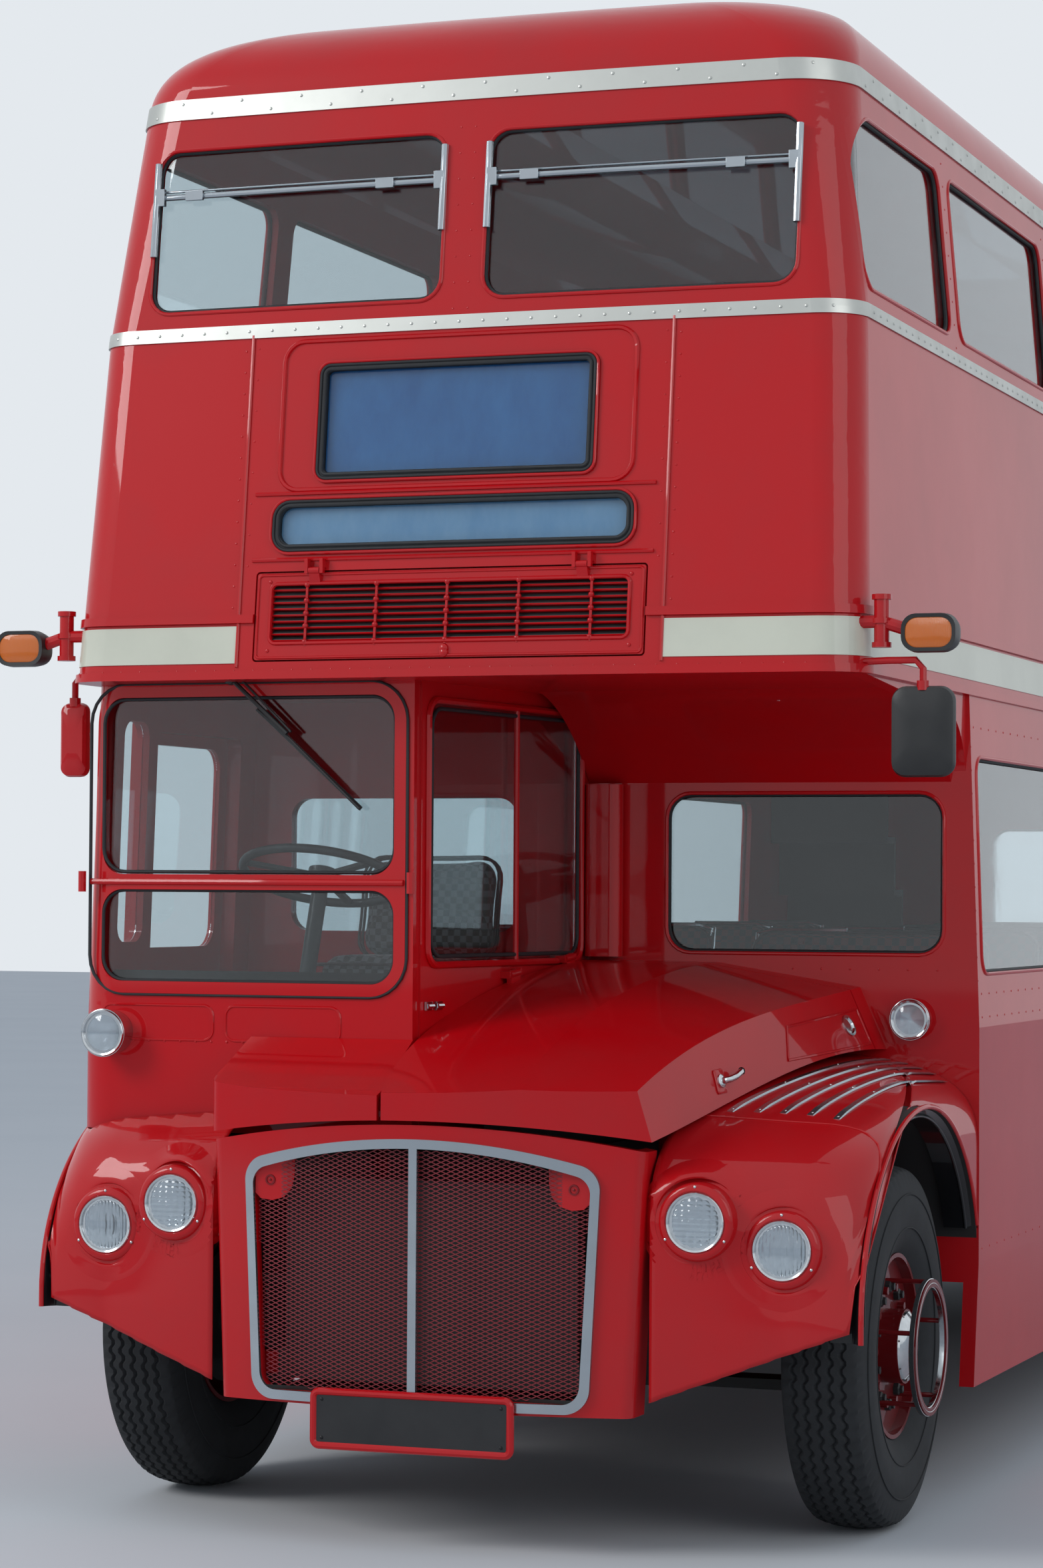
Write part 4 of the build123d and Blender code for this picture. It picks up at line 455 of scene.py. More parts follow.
def makeStudio(s):
    # smooth pale screed, faintly clouded
    mat, tree, place = startMaterial("paleStudioFloor")
    tone = addBlend(tree, hexToLinear(s["floor"]), hexToLinear(s["cloud"]), addNoise(tree, place, 0.6, 3.0))
    finishMaterial(mat, tree, {"Roughness": 0.85}, {"Base Color": tone})
    bm = bmesh.new()
    bmesh.ops.create_grid(bm, x_segments=1, y_segments=1, size=60.0)
    mesh = bpy.data.meshes.new("studioFloor")
    bm.to_mesh(mesh)
    bm.free()
    floor = bpy.data.objects.new("studioFloor", mesh)
    floor.data.materials.append(mat)
    bpy.context.scene.collection.objects.link(floor)
    floor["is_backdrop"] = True

    # the sky lights the bus weakly, and shows brighter to the camera and in reflections
    world = bpy.data.worlds.new("softSky")
    bpy.context.scene.world = world
    world.use_nodes = True
    world.node_tree.nodes.clear()
    tree = world.node_tree
    path = addNode(tree, "ShaderNodeLightPath")
    dim = addNode(tree, "ShaderNodeBackground", {"Color": hexToLinear(s["sky"]), "Strength": s["skyStrength"]})
    seen = addNode(tree, "ShaderNodeBackground", {"Color": hexToLinear(s["seenSky"]), "Strength": 1.0})
    shown = path.outputs["Is Camera Ray"]
    for ray in ("Is Glossy Ray", "Is Transmission Ray"):
        shown = addNode(tree, "ShaderNodeMath", settings={"operation": "ADD", "use_clamp": True},
                        links={0: shown, 1: path.outputs[ray]}).outputs[0]
    mix = addNode(tree, "ShaderNodeMixShader", links={"Fac": shown, 1: dim.outputs[0], 2: seen.outputs[0]})
    addNode(tree, "ShaderNodeOutputWorld", links={"Surface": mix.outputs[0]})

    for name, place, aim, size, power in (
            ("keyLight", (-10.5, -12.5, 10.0), (0, -3.0, 2.0), 6.0, s["key"]),
            ("fillLight", (10.0, -9.0, 6.0), (0.5, -2.5, 2.0), 7.0, s["fill"])):
        lamp = bpy.data.lights.new(name, "AREA")
        lamp.size = size
        lamp.energy = power
        holder = bpy.data.objects.new(name, lamp)
        holder.location = place
        holder.rotation_euler = (Vector(aim) - Vector(place)).to_track_quat("-Z", "Y").to_euler()
        bpy.context.scene.collection.objects.link(holder)


makeStudio(studio)
print("camera and studio made")


def alongBus(d):
    # millimetres behind the number plate, as in the CAD, to metres
    return d / 1000 - 4.1975


def roundedLoop(wide, tall, corner, steps=6):
    # points of a rounded rectangle round its centre, anticlockwise
    points = []
    for cx, cy, start in ((wide / 2 - corner, tall / 2 - corner, 0), (-wide / 2 + corner, tall / 2 - corner, 90),
                          (-wide / 2 + corner, -tall / 2 + corner, 180), (wide / 2 - corner, -tall / 2 + corner, 270)):
        for k in range(steps + 1):
            a = math.radians(start + 90 * k / steps)
            points.append((cx + corner * math.cos(a), cy + corner * math.sin(a)))
    return points


def spreadLoop(points, gap):
    # extra points along the straight runs, so that the loop can follow a curved panel
    out = []
    for (ax, ay), (bx, by) in zip(points, points[1:] + points[:1]):
        parts = max(1, int(math.hypot(bx - ax, by - ay) / gap))
        out += [(ax + (bx - ax) * k / parts, ay + (by - ay) * k / parts) for k in range(parts)]
    return out


def fromNearside(along, z):
    return (3.0, along, z)


def fromOffside(along, z):
    return (-3.0, along, z)


# Panel faces: which nodes, where the ray starts and which way it goes
panelFaces = {
    "upperFront": (["upper_front_panel", "cab_front"], lambda a, z: (a, -6.0, z), (0, 1, 0)),
    "upperNear": (["upper_side_nearside", "upper_front_panel", "upper_rear_panel"], fromNearside, (-1, 0, 0)),
    "upperOff": (["upper_side_offside", "upper_front_panel", "upper_rear_panel"], fromOffside, (1, 0, 0)),
    "lowerNear": (["lower_side_nearside", "lower_rear_wall"], fromNearside, (-1, 0, 0)),
    "lowerOff": (["lower_side_offside", "cab_front", "lower_rear_wall"], fromOffside, (1, 0, 0)),
    "rear": (["upper_rear_panel", "lower_rear_wall"], lambda a, z: (a, 6.0, z), (0, -1, 0)),
    "bulkheadFront": (["bulkhead"], lambda a, z: (a, -3.2, z), (0, 1, 0)),
}


def onFace(face, across, z):
    # nearest hit of the ray on the nodes of a face
    nodeNames, start, way = panelFaces[face]
    origin = Vector(start(across, z))
    best = None
    for name in nodeNames:
        place, normal = castOnto(name, origin, way)
        if place and (best is None or (place - origin).length < (best[0] - origin).length):
            best = (place, normal)
    return best if best else (None, None)


def arcThrough(a, b, c, steps=10):
    # points of the circle from a over b to c
    (ax, ay), (bx, by), (cx, cy) = a, b, c
    d = 2 * (ax * (by - cy) + bx * (cy - ay) + cx * (ay - by))
    ux = ((ax * ax + ay * ay) * (by - cy) + (bx * bx + by * by) * (cy - ay) + (cx * cx + cy * cy) * (ay - by)) / d
    uy = ((ax * ax + ay * ay) * (cx - bx) + (bx * bx + by * by) * (ax - cx) + (cx * cx + cy * cy) * (bx - ax)) / d
    radius = math.hypot(ax - ux, ay - uy)
    first, last = math.atan2(ay - uy, ax - ux), math.atan2(cy - uy, cx - ux)
    middle = math.atan2(by - uy, bx - ux)
    if not min(first, last) <= middle <= max(first, last):
        last += 2 * math.pi if last < first else -2 * math.pi
    return [(ux + radius * math.cos(first + (last - first) * k / steps),
             uy + radius * math.sin(first + (last - first) * k / steps)) for k in range(steps + 1)]


def sweptLoop(wide, tall, corner, back, drop):
    # window outline whose top front corner sweeps back
    points = roundedLoop(wide, tall, corner)
    count = len(points) // 4
    x, y = -wide / 2, tall / 2
    sweep = arcThrough((x + back, y), (x + 0.045, y - 0.066), (x, y - drop))
    return points[:count] + sweep + points[2 * count:]


def panelLoop(face, centre, points, outward, grow=0.02):
    # the loop laid on a panel: cast just outside the opening's edge, then moved out against the ray
    way = panelFaces[face][2]
    out = []
    for across, up in points:
        length = math.hypot(across, up) or 1
        place, _ = onFace(face, centre[0] + across * (1 + grow / length), centre[1] + up * (1 + grow / length))
        if place is None:
            continue
        flat = Vector(place)
        if abs(way[0]) > 0:
            flat.y = centre[0] + across
        else:
            flat.x = centre[0] + across
        flat.z = centre[1] + up
        out.append(flat - Vector(way) * outward)
    return out


# Front wings as pressed skins, in metres. Columns: height, front at the cowl, outer X, sweep at the side, at the knee
wingLevels = [(0.300, 0.118, 1.216, 0.070, 0.050), (0.640, 0.118, 1.216, 0.075, 0.055),
              (0.800, 0.118, 1.216, 0.095, 0.065), (0.918, 0.118, 1.216, 0.165, 0.070),
              (0.985, 0.126, 1.216, 0.235, 0.070), (1.035, 0.147, 1.216, 0.290, 0.070),
              (1.078, 0.184, 1.215, 0.302, 0.070), (1.115, 0.236, 1.211, 0.308, 0.071),
              (1.150, 0.312, 1.202, 0.317, 0.073), (1.182, 0.410, 1.186, 0.332, 0.077),
              (1.212, 0.530, 1.162, 0.347, 0.080), (1.240, 0.670, 1.128, 0.362, 0.084),
              (1.266, 0.830, 1.078, 0.377, 0.087), (1.290, 1.010, 1.000, 0.362, 0.084),
              (1.310, 1.220, 0.880, 0.242, 0.056), (1.322, 1.400, 0.760, 0.091, 0.021)]
wingShape = {"inner": 0.644, "knee": 0.623, "sill": 0.425, "sillOut": 0.640, "half": 1.2165, "rear": 1.5175,
             "archD": 0.885, "archZ": 0.644, "archFront": 0.700, "archRear": 0.660, "archRise": 0.552,
             "archFoot": 0.600, "guardShare": 0.955, "rows": 56, "cabFront": 0.361, "cabFloor": 1.0995, "skin": 0.004}


def wingAt(z, share, s):
    # point of the skin at a height: share 0 to 0.5 up to the knee, 0.5 to 1 round the corner, 1 to 2 along the side
    low, high = wingLevels[-2], wingLevels[-1]
    for a, b in zip(wingLevels, wingLevels[1:]):
        if a[0] <= z <= b[0]:
            low, high = a, b
            break
    k = min(1.0, max(0.0, (z - low[0]) / (high[0] - low[0])))
    front, outer, sideSweep, kneeSweep = (low[i] + (high[i] - low[i]) * k for i in (1, 2, 3, 4))
    span = outer - s["inner"]
    sideD = min(front + sideSweep, s["rear"])
    if share >= 1.0:
        return outer, sideD + (s["rear"] - sideD) * (share - 1.0)
    if share <= 0.5:
        part = share * 2
        return s["inner"] + part * s["knee"] * span, front + kneeSweep * part ** 1.25
    knee = (s["inner"] + s["knee"] * span, front + kneeSweep)
    bend = (s["inner"] + 0.885 * span, knee[1] + 0.32 * (sideD - knee[1]))
    steps = 20
    arc = arcThrough(knee, bend, (outer, sideD), steps)
    place = (share - 0.5) * 2 * steps
    i = min(steps - 1, int(place))
    return tuple(arc[i][j] + (arc[i + 1][j] - arc[i][j]) * (place - i) for j in (0, 1))


def archHeight(d, s):
    half = s["archFront"] if d < s["archD"] else s["archRear"]
    reach = 1 - ((d - s["archD"]) / half) ** 2
    return s["archZ"] + s["archRise"] * math.sqrt(reach) if reach > 0 else 0.0


def wingFloor(share, s):
    # lowest height of a column: the sill or the wheel arch
    top = wingLevels[-1][0]
    z = wingLevels[0][0]
    while z < top:
        x, d = wingAt(z, share, s)
        sill = s["sill"] + (s["sillOut"] - s["sill"]) * (x - s["inner"]) / (s["half"] - s["inner"])
        if z >= sill and z >= archHeight(d, s):
            return z
        z += 0.003
    return top


def wingSkin(side, s):
    bm = bmesh.new()
    shares = [0.5 * i / 20 for i in range(20)] + [0.5 + 0.5 * i / 24 for i in range(24)]
    shares += [1 + i / 48 for i in range(49)]
    columns = []
    for share in shares:
        low, top = wingFloor(share, s), wingLevels[-1][0]
        column = []
        for j in range(s["rows"] + 1):
            z = low + (top - low) * j / s["rows"]
            x, d = wingAt(z, share, s)
            column.append(bm.verts.new((side * x, alongBus(d * 1000), z)))
        columns.append(column)
    for a, b in zip(columns, columns[1:]):
        for j in range(s["rows"]):
            quad = (a[j], b[j], b[j + 1], a[j + 1])
            bm.faces.new(quad if side > 0 else reversed(quad))
    inner = [v for column in columns[1:-1] for v in column[1:-1]]
    for _ in range(4):
        bmesh.ops.smooth_vert(bm, verts=inner, factor=0.5, use_axis_x=True, use_axis_y=True, use_axis_z=True)
    if side < 0:
        wall = alongBus(s["cabFront"] * 1000)
        for place, normal in (((0, wall, 0), (0, 1, 0)), ((0, 0, s["cabFloor"]), (0, 0, 1))):
            bmesh.ops.bisect_plane(bm, geom=bm.verts[:] + bm.edges[:] + bm.faces[:], plane_co=place, plane_no=normal)
        gone = [f for f in bm.faces if f.calc_center_median().y > wall and f.calc_center_median().z > s["cabFloor"]]
        bmesh.ops.delete(bm, geom=gone, context="FACES")
    return bm


def makeWings(s):
    trees = {}
    for side, name in ((1, "wing_nearside"), (-1, "wing_offside")):
        bm = wingSkin(side, s)
        trees[side] = BVHTree.FromBMesh(bm)
        skin = fromMesh(name + "_skin", bm, coachRed, "body")
        sheet = skin.modifiers.new("sheet", "SOLIDIFY")
        sheet.thickness = s["skin"]
        sheet.offset = -1.0
        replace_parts(skin, name)
    return trees


wingTrees = makeWings(wingShape)


def wingPlace(side, start, direction):
    place, normal, _, _ = wingTrees[side].ray_cast(Vector(start), Vector(direction).normalized())
    return place, normal


# Columns: X, height, front of the pod, middle and half width of the hooded part in degrees from outboard
podRows = [(0.772, 0.915, 0.119, 150, 115), (1.000, 0.844, 0.167, 195, 150)]
# Rings of a pod: radius, and share of the way from the wing to the front of the pod
podRings = [(0.168, 0.0), (0.156, 0.10), (0.145, 0.34), (0.135, 0.68), (0.127, 0.93), (0.121, 1.0), (0.1165, 0.86),
            (0.114, 0.1), (0.113, -0.6)]
bezelProfile = [(0.004, 0.0785), (-0.004, 0.080), (-0.0075, 0.086), (-0.0065, 0.095), (-0.001, 0.1025), (0.008, 0.106),
                (0.060, 0.1065)]
podSides, bezelScrewRadius = 64, 0.0955


def makeLampPods(rows):
    hoods, bezels, screws = bmesh.new(), bmesh.new(), bmesh.new()
    for side in (-1, 1):
        for x, z, d, middle, half in rows:
            front = alongBus(d * 1000)
            loops = []
            for radius, rise in podRings:
                loop = []
                for k in range(podSides):
                    turn = 2 * math.pi * k / podSides
                    off = abs((math.degrees(turn) - middle + 180) % 360 - 180)
                    hood = 0.5 + 0.5 * math.cos(math.pi * min(1.0, off / half))
                    px, pz = x + radius * math.cos(turn), z + radius * math.sin(turn)
                    place, _ = wingPlace(side, (side * min(px, 1.205), -6, pz), (0, 1, 0))
                    skinY = place.y if place else front + 0.03
                    lift = max(0.0, skinY - (front + 0.002)) * hood
                    if rise > 0:
                        y = skinY - lift * rise - 0.0012 * hood
                    else:
                        y = skinY + (0.0006 if rise == 0 else 0.006)
                    loop.append(hoods.verts.new((side * px, y, pz)))
                loops.append(loop)
            for a, b in zip(loops, loops[1:]):
                for k in range(podSides):
                    n = (k + 1) % podSides
                    quad = (a[k], a[n], b[n], b[k])
                    hoods.faces.new(quad if side < 0 else reversed(quad))
            addLathe(bezels, (side * x, front, z), (0, 1, 0), bezelProfile, podSides)
            for turn in (90, 210, 330):
                a = math.radians(turn)
                across, up = bezelScrewRadius * math.cos(a), bezelScrewRadius * math.sin(a)
                addDome(screws, (side * (x + across), front - 0.0062, z + up), (0, -1, 0), 0.0042, 0.003, 12)
    fromMesh("lamp_hoods", hoods, coachRed, "body")
    fromMesh("lamp_bezels", bezels, coachRed, "body")
    fromMesh("bezel_screws", screws, chrome, "body")


makeLampPods(podRows)


def makeArchBeads(s):
    # rolled bead round each front arch, and the black guard inside it
    beads, guards = bmesh.new(), bmesh.new()
    line = []
    for k in range(61):
        turn = math.pi * k / 60
        half = s["archFront"] if turn < math.pi / 2 else s["archRear"]
        d = s["archD"] - half * math.cos(turn)
        if d <= s["rear"]:
            line.append((d, s["archZ"] + s["archRise"] * math.sin(turn)))
    foot, share = s["archFoot"], s["guardShare"]
    line = [(line[0][0], foot)] + line
    inner = [(s["archD"] + (d - s["archD"]) * share, foot + (z - foot) * share) for d, z in line]
    for side in (-1, 1):
        addTube(beads, [(side * 1.2125, alongBus(d * 1000), z) for d, z in line], 0.0075, 10)
        strips = []
        for (d0, z0), (d1, z1) in zip(line, inner):
            section = ((1.205, d0, z0), (1.196, (d0 + d1) / 2, (z0 + z1) / 2), (1.180, d1, z1), (1.120, d1, z1))
            strips.append([guards.verts.new((side * x, alongBus(d * 1000), z)) for x, d, z in section])
        for a, b in zip(strips, strips[1:]):
            for k in range(3):
                quad = (a[k], b[k], b[k + 1], a[k + 1])
                guards.faces.new(quad if side > 0 else reversed(quad))
        addTube(guards, [(side * 1.186, alongBus(d * 1000), z) for d, z in inner], 0.005, 8)
    fromMesh("arch_beads", beads, coachRed, "body")
    fromMesh("arch_guards", guards, blackGloss, "body")


makeArchBeads(wingShape)
print("wings, lamp pods and arch beads")


# Window rows: face, centre along the face, centre height, width, height, corner, gasket depth, sweep of the corner
bayStarts = [1518 + 1407 * i + 60 for i in range(4)]
windowRows = [("upperFront", side * 0.520, 3.710, 0.912, 0.484, 0.065, -0.012, 0) for side in (-1, 1)]
for face in ("upperNear", "upperOff"):
    windowRows += [(face, alongBus(start + 643.5), 3.7175, 1.287, 0.495, 0.06, -0.012, 0) for start in bayStarts]
    windowRows += [(face, alongBus((480 + 1458) / 2), 3.7175, 0.978, 0.495, 0.06, -0.012, 0.17),
                   (face, alongBus((7206 + 8040) / 2), 3.7175, 0.834, 0.495, 0.06, -0.012, 0)]
for face in ("lowerNear", "lowerOff"):
    windowRows += [(face, alongBus(start + 643.5), 1.885, 1.287, 0.65, 0.06, -0.012, 0) for start in bayStarts]
windowRows += [("rear", 0.0, 3.7, 1.06, 0.5, 0.09, -0.012, 0), ("rear", 0.18, 1.83, 1.0, 0.56, 0.08, -0.012, 0),
               ("bulkheadFront", 0.673, 1.859, 0.87, 0.486, 0.075, -0.010, 0)]


def makeWindowGaskets(rows):
    gaskets, surrounds = bmesh.new(), bmesh.new()
    for face, across, z, wide, tall, corner, depth, sweep in rows:
        for made, grow, outward, radius in ((gaskets, -0.008, depth, 0.007), (surrounds, 0.004, -0.001, 0.006)):
            size = (wide + grow, tall + grow, corner + grow / 2)
            loop = sweptLoop(*size, sweep, 0.245) if sweep else roundedLoop(*size)
            addTube(made, panelLoop(face, (across, z), spreadLoop(loop, 0.15), outward), radius, 8, closed=True)
    fromMesh("window_gaskets", gaskets, blackRubber, "body")
    fromMesh("window_surrounds", surrounds, coachRed, "body")


makeWindowGaskets(windowRows)
print("window gaskets")

# Expanded metal: strands 2.5 mm wide, diamonds of 29 by 12 mm
grilleMesh = {"pitchX": 0.0287, "pitchZ": 0.0121, "strand": 0.0025, "depth": 0.004, "half": 0.515, "low": 0.425,
              "high": 1.115}


def makeGrilleMesh(s):
    bm = bmesh.new()
    across, tall = s["pitchX"], s["pitchZ"]
    columns = int(s["half"] * 2 / across)
    rows = int((s["high"] - s["low"]) / tall)
    for row in range(rows * 2):
        z = s["low"] + row * tall / 2
        for column in range(columns + 1):
            x = -s["half"] + column * across + (across / 2 if row % 2 else 0)
            for way in (-1, 1):
                endX, endZ = x + way * across / 2, z + tall / 2
                first, _ = castOnto("grille_mesh", (x, -6.0, z), (0, 1, 0))
                last, _ = castOnto("grille_mesh", (endX, -6.0, endZ), (0, 1, 0))
                if first is None or last is None:
                    continue
                run = Vector((endX - x, 0, endZ - z)).normalized()
                side = Vector((-run.z, 0, run.x)) * s["strand"] / 2
                a, b = Vector((x, first.y + 0.0005, z)), Vector((endX, last.y + 0.0005, endZ))
                corners = [a + side, a - side, b - side, b + side]
                front = [bm.verts.new(c) for c in corners]
                rear = [bm.verts.new(c + Vector((0, s["depth"], 0.001))) for c in corners]
                bm.faces.new(front)
                for k in (1, 3):
                    bm.faces.new((front[k], front[k - 1], rear[k - 1], rear[k]))
    return fromMesh("grille_diamonds", bm, meshPaint, "body", smooth=False)


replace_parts(makeGrilleMesh(grilleMesh), "grille_mesh")
print("grille mesh")

# Radiator tray: folded sheet that closes the gap under the radiator
radiatorTray = {"half": 0.47, "front": 52, "rear": 460, "floor": 0.411, "lip": 0.505, "ribs": 6}


def makeRadiatorTray(s):
    bm = bmesh.new()
    front, rear, floor = s["front"], s["rear"], s["floor"]
    fold = [(front, floor + 0.020), (front + 6, floor + 0.004), (front + 14, floor), (rear - 14, floor),
            (rear - 4, floor + 0.005), (rear, floor + 0.016), (rear, s["lip"])]
    lines = [[bm.verts.new((side * s["half"], alongBus(d), z)) for d, z in fold] for side in (-1, 1)]
    for k in range(len(fold) - 1):
        bm.faces.new((lines[0][k], lines[1][k], lines[1][k + 1], lines[0][k + 1]))
    for k in range(s["ribs"]):
        x = -s["half"] + s["half"] * 2 * (k + 0.5) / s["ribs"]
        addTube(bm, [(x, alongBus(d), floor + 0.003) for d in (front + 30, rear - 30)], 0.005, 8)
    fromMesh("radiator_tray", bm, chassisBlack, "body")


makeRadiatorTray(radiatorTray)


waistBand = 3.402

# Rivet rows: face, first and last place (along the face, height), pitch, head radius, start of the row
rivetRows = []
for z in (4.060, 4.092):
    rivetRows.append(("upperFront", (-1.0, z), (1.0, z), 0.19, 0.0055, 0.0 if z < 4.08 else 0.095))
rivetRows.append(("upperFront", (-1.08, waistBand), (1.08, waistBand), 0.072, 0.005, 0.0))
for face in ("upperNear", "upperOff"):
    for z in (4.060, 4.092):
        rivetRows.append((face, (alongBus(640), z), (alongBus(8150), z), 0.19, 0.0055, 0.0 if z < 4.08 else 0.095))
    rivetRows.append((face, (alongBus(520), waistBand), (alongBus(8200), waistBand), 0.072, 0.005, 0.0))
for side in (-1, 1):
    rivetRows.append(("upperFront", (side * 0.655, 2.60), (side * 0.655, 3.37), 0.062, 0.0035, 0.0))
    rivetRows.append(("upperFront", (side * 0.615, 2.72), (side * 0.615, 3.36), 0.09, 0.003, 0.0))
    rivetRows.append(("upperFront", (side * 0.022, 3.44), (side * 0.022, 4.02), 0.075, 0.003, 0.0))
rivetRows.append(("upperFront", (-1.12, 2.42), (1.12, 2.42), 0.06, 0.003, 0.0))
rivetRows.append(("bulkheadFront", (1.172, 1.560), (1.172, 2.300), 0.075, 0.0040, 0.0))
rivetRows.append(("bulkheadFront", (0.640, 1.570), (1.130, 1.570), 0.090, 0.0040, 0.0))
for face in ("lowerNear", "lowerOff"):
    for z in (1.43, 1.50, 0.74, 2.30):
        rivetRows.append((face, (alongBus(1560), z), (alongBus(8200), z), 0.1, 0.0035, 0.0))
for start in bayStarts + [7146 + 60]:
    for face in ("upperNear", "upperOff", "lowerNear", "lowerOff"):
        low, high = (3.44, 4.0) if face.startswith("upper") else (1.54, 2.26)
        rivetRows.append((face, (alongBus(start - 60), low), (alongBus(start - 60), high), 0.07, 0.0035, 0.0))


def makeRivets(rows):
    heads = {"band": bmesh.new(), "paint": bmesh.new()}
    for face, first, last, pitch, radius, shift in rows:
        length = math.hypot(last[0] - first[0], last[1] - first[1])
        for k in range(int((length - shift) / pitch) + 1):
            share = (shift + k * pitch) / length
            across = first[0] + (last[0] - first[0]) * share
            z = first[1] + (last[1] - first[1]) * share
            place, normal = onFace(face, across, z)
            if place is None:
                continue
            onBand = abs(z - waistBand) < 0.02 or z > 4.05
            if onBand:
                start, way = panelFaces[face][1:]
                banded, bandNormal = castOnto("trim_bands", start(across, z), way)
                place, normal = (banded, bandNormal) if banded else (place, normal)
            addDome(heads["band" if onBand else "paint"], place, normal, radius, radius * 0.45, 8)
    fromMesh("band_rivets", heads["band"], bandAluminium, "body")
    fromMesh("panel_rivets", heads["paint"], coachRed, "body")


makeRivets(rivetRows)
print("rivets")

# Headlamps and fog lamps: chrome rim, fluted glass bulging out
lampRows = [(side * x, alongBus(front), z, 0.0845) for side in (-1, 1)
            for x, front, z in ((0.772, 113, 0.915), (1.000, 161, 0.844))]
fogRows = [(-1.085, alongBus(305), 1.382, 0.0696), (1.016, alongBus(1474), 1.422, 0.062)]


def addLens(bm, middle, radius, pattern):
    # domed glass on a square grid pressed into a circle, with flutes 11 mm wide or blocks of 22 by 14 mm
    steps, fluteWide, blockWide, blockTall, relief = 44, 0.011, 0.022, 0.014, 0.0026
    grid = []
    for i in range(steps + 1):
        column = []
        for j in range(steps + 1):
            a, b = 2 * i / steps - 1, 2 * j / steps - 1
            u, v = a * math.sqrt(1 - b * b / 2) * radius, b * math.sqrt(1 - a * a / 2) * radius
            r = math.hypot(u, v) / radius
            rise = 0.012 * math.cos(r * math.pi / 2)
            edge = min(1.0, (1 - r) / 0.12)
            if pattern == "flutes":
                rise += relief * edge * abs(math.sin(math.pi * u / fluteWide))
            elif pattern == "blocks":
                upright = abs(math.sin(math.pi * u / blockWide))
                rise += relief * edge * upright * abs(math.sin(math.pi * (v / blockTall + 0.5)))
            column.append(bm.verts.new((middle[0] + u, middle[1] - rise, middle[2] + v)))
        grid.append(column)
    for p, q in zip(grid, grid[1:]):
        for j in range(steps):
            bm.faces.new((p[j], q[j], q[j + 1], p[j + 1]))


def makeLamps(rows, fogs):
    glass, bowls, rims = bmesh.new(), bmesh.new(), bmesh.new()
    for x, y, z, radius in rows + fogs:
        inner = radius - 0.012
        pattern = "plain" if radius < 0.08 else ("flutes" if abs(x) > 0.9 else "blocks")
        addLens(glass, (x, y + 0.006, z), inner, pattern)
        bowl = [(0.03 - 0.03 * (r / inner) ** 2 + 0.001, r)
                for r in (0.001, inner * 0.3, inner * 0.6, inner * 0.85, inner)]
        addLathe(bowls, (x, y + 0.008, z), (0, 1, 0), bowl, 40)
        rim = [(0.008, radius), (0.0, radius - 0.001), (-0.005, radius - 0.005), (-0.003, radius - 0.010),
               (0.006, inner)]
        addLathe(rims, (x, y, z), (0, 1, 0), rim, 56)
    fromMesh("lamp_glass", glass, fluteGlass, "body")
    fromMesh("lamp_bowls", bowls, lampBowl, "body")
    fromMesh("lamp_rims", rims, chrome, "body")


makeLamps(lampRows, fogRows)
print("lamps")


# Number plates, front and rear: pressed black sheets in red frames, left bare
def makePlates():
    sheets, frames, screws = bmesh.new(), bmesh.new(), bmesh.new()
    low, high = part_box("number_plates")
    for x, y, z, wide, tall, way in ((0, low.y, 0.3525, 0.596, 0.169, 1), (0, high.y, 0.96, 0.52, 0.11, -1)):
        loop = roundedLoop(wide - 0.022, tall - 0.022, 0.016)
        addTube(frames, [(x + a, y + way * 0.0110, z + b) for a, b in loop], 0.0108, 10, closed=True)
        rings = [loopOf(sheets, roundedLoop(wide - shrink, tall - shrink, corner), x, y + way * depth, z)
                 for depth, shrink, corner in ((0.022, 0.014, 0.018), (0.008, 0.026, 0.012), (0.0065, 0.030, 0.012),
                                               (0.0065, 0.034, 0.012))]
        bridgeRings(sheets, rings)
        sheets.faces.new(rings[-1])
        sheets.faces.new(rings[0])
        for a in (-1, 1):
            for b in (-1, 1):
                head = (x + a * (wide / 2 - 0.036), y + way * 0.0065, z + b * (tall / 2 - 0.032))
                addDome(screws, head, (0, -way, 0), 0.0052, 0.003, 12)
    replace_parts(fromMesh("plate_sheets", sheets, plateBlack, "body", smooth=False), "number_plates")
    fromMesh("plate_frames", frames, coachRed, "body")
    fromMesh("plate_screws", screws, blackGloss, "body")


makePlates()


def leaningFrontY(x, z, sink=0.0):
    # the upper front face as the CAD draws it, bowed and leaning back
    if z < waistBand:
        level = 212 + (z - 2.395) / 1.007 * 112
        half = 1.185 - (z - 2.395) / 1.007 * 0.039
    else:
        level = 324 + (z - waistBand) / 0.705 * 80
        half = 1.146 - (z - waistBand) / 0.705 * 0.063
    return alongBus(level + 24 * (x / half) ** 2) + sink


def addFrontBead(bm, loop, middle, sink, radius, sides=6):
    # closed bead on the leaning upper front, round a middle height
    addTube(bm, [(a, leaningFrontY(a, middle + b, sink), middle + b) for a, b in loop], radius, sides, closed=True)


# Blinds: bare linen under glass in the two boxes, at these middle heights
viaHeight, destinationHeight = 3.1285, 2.831


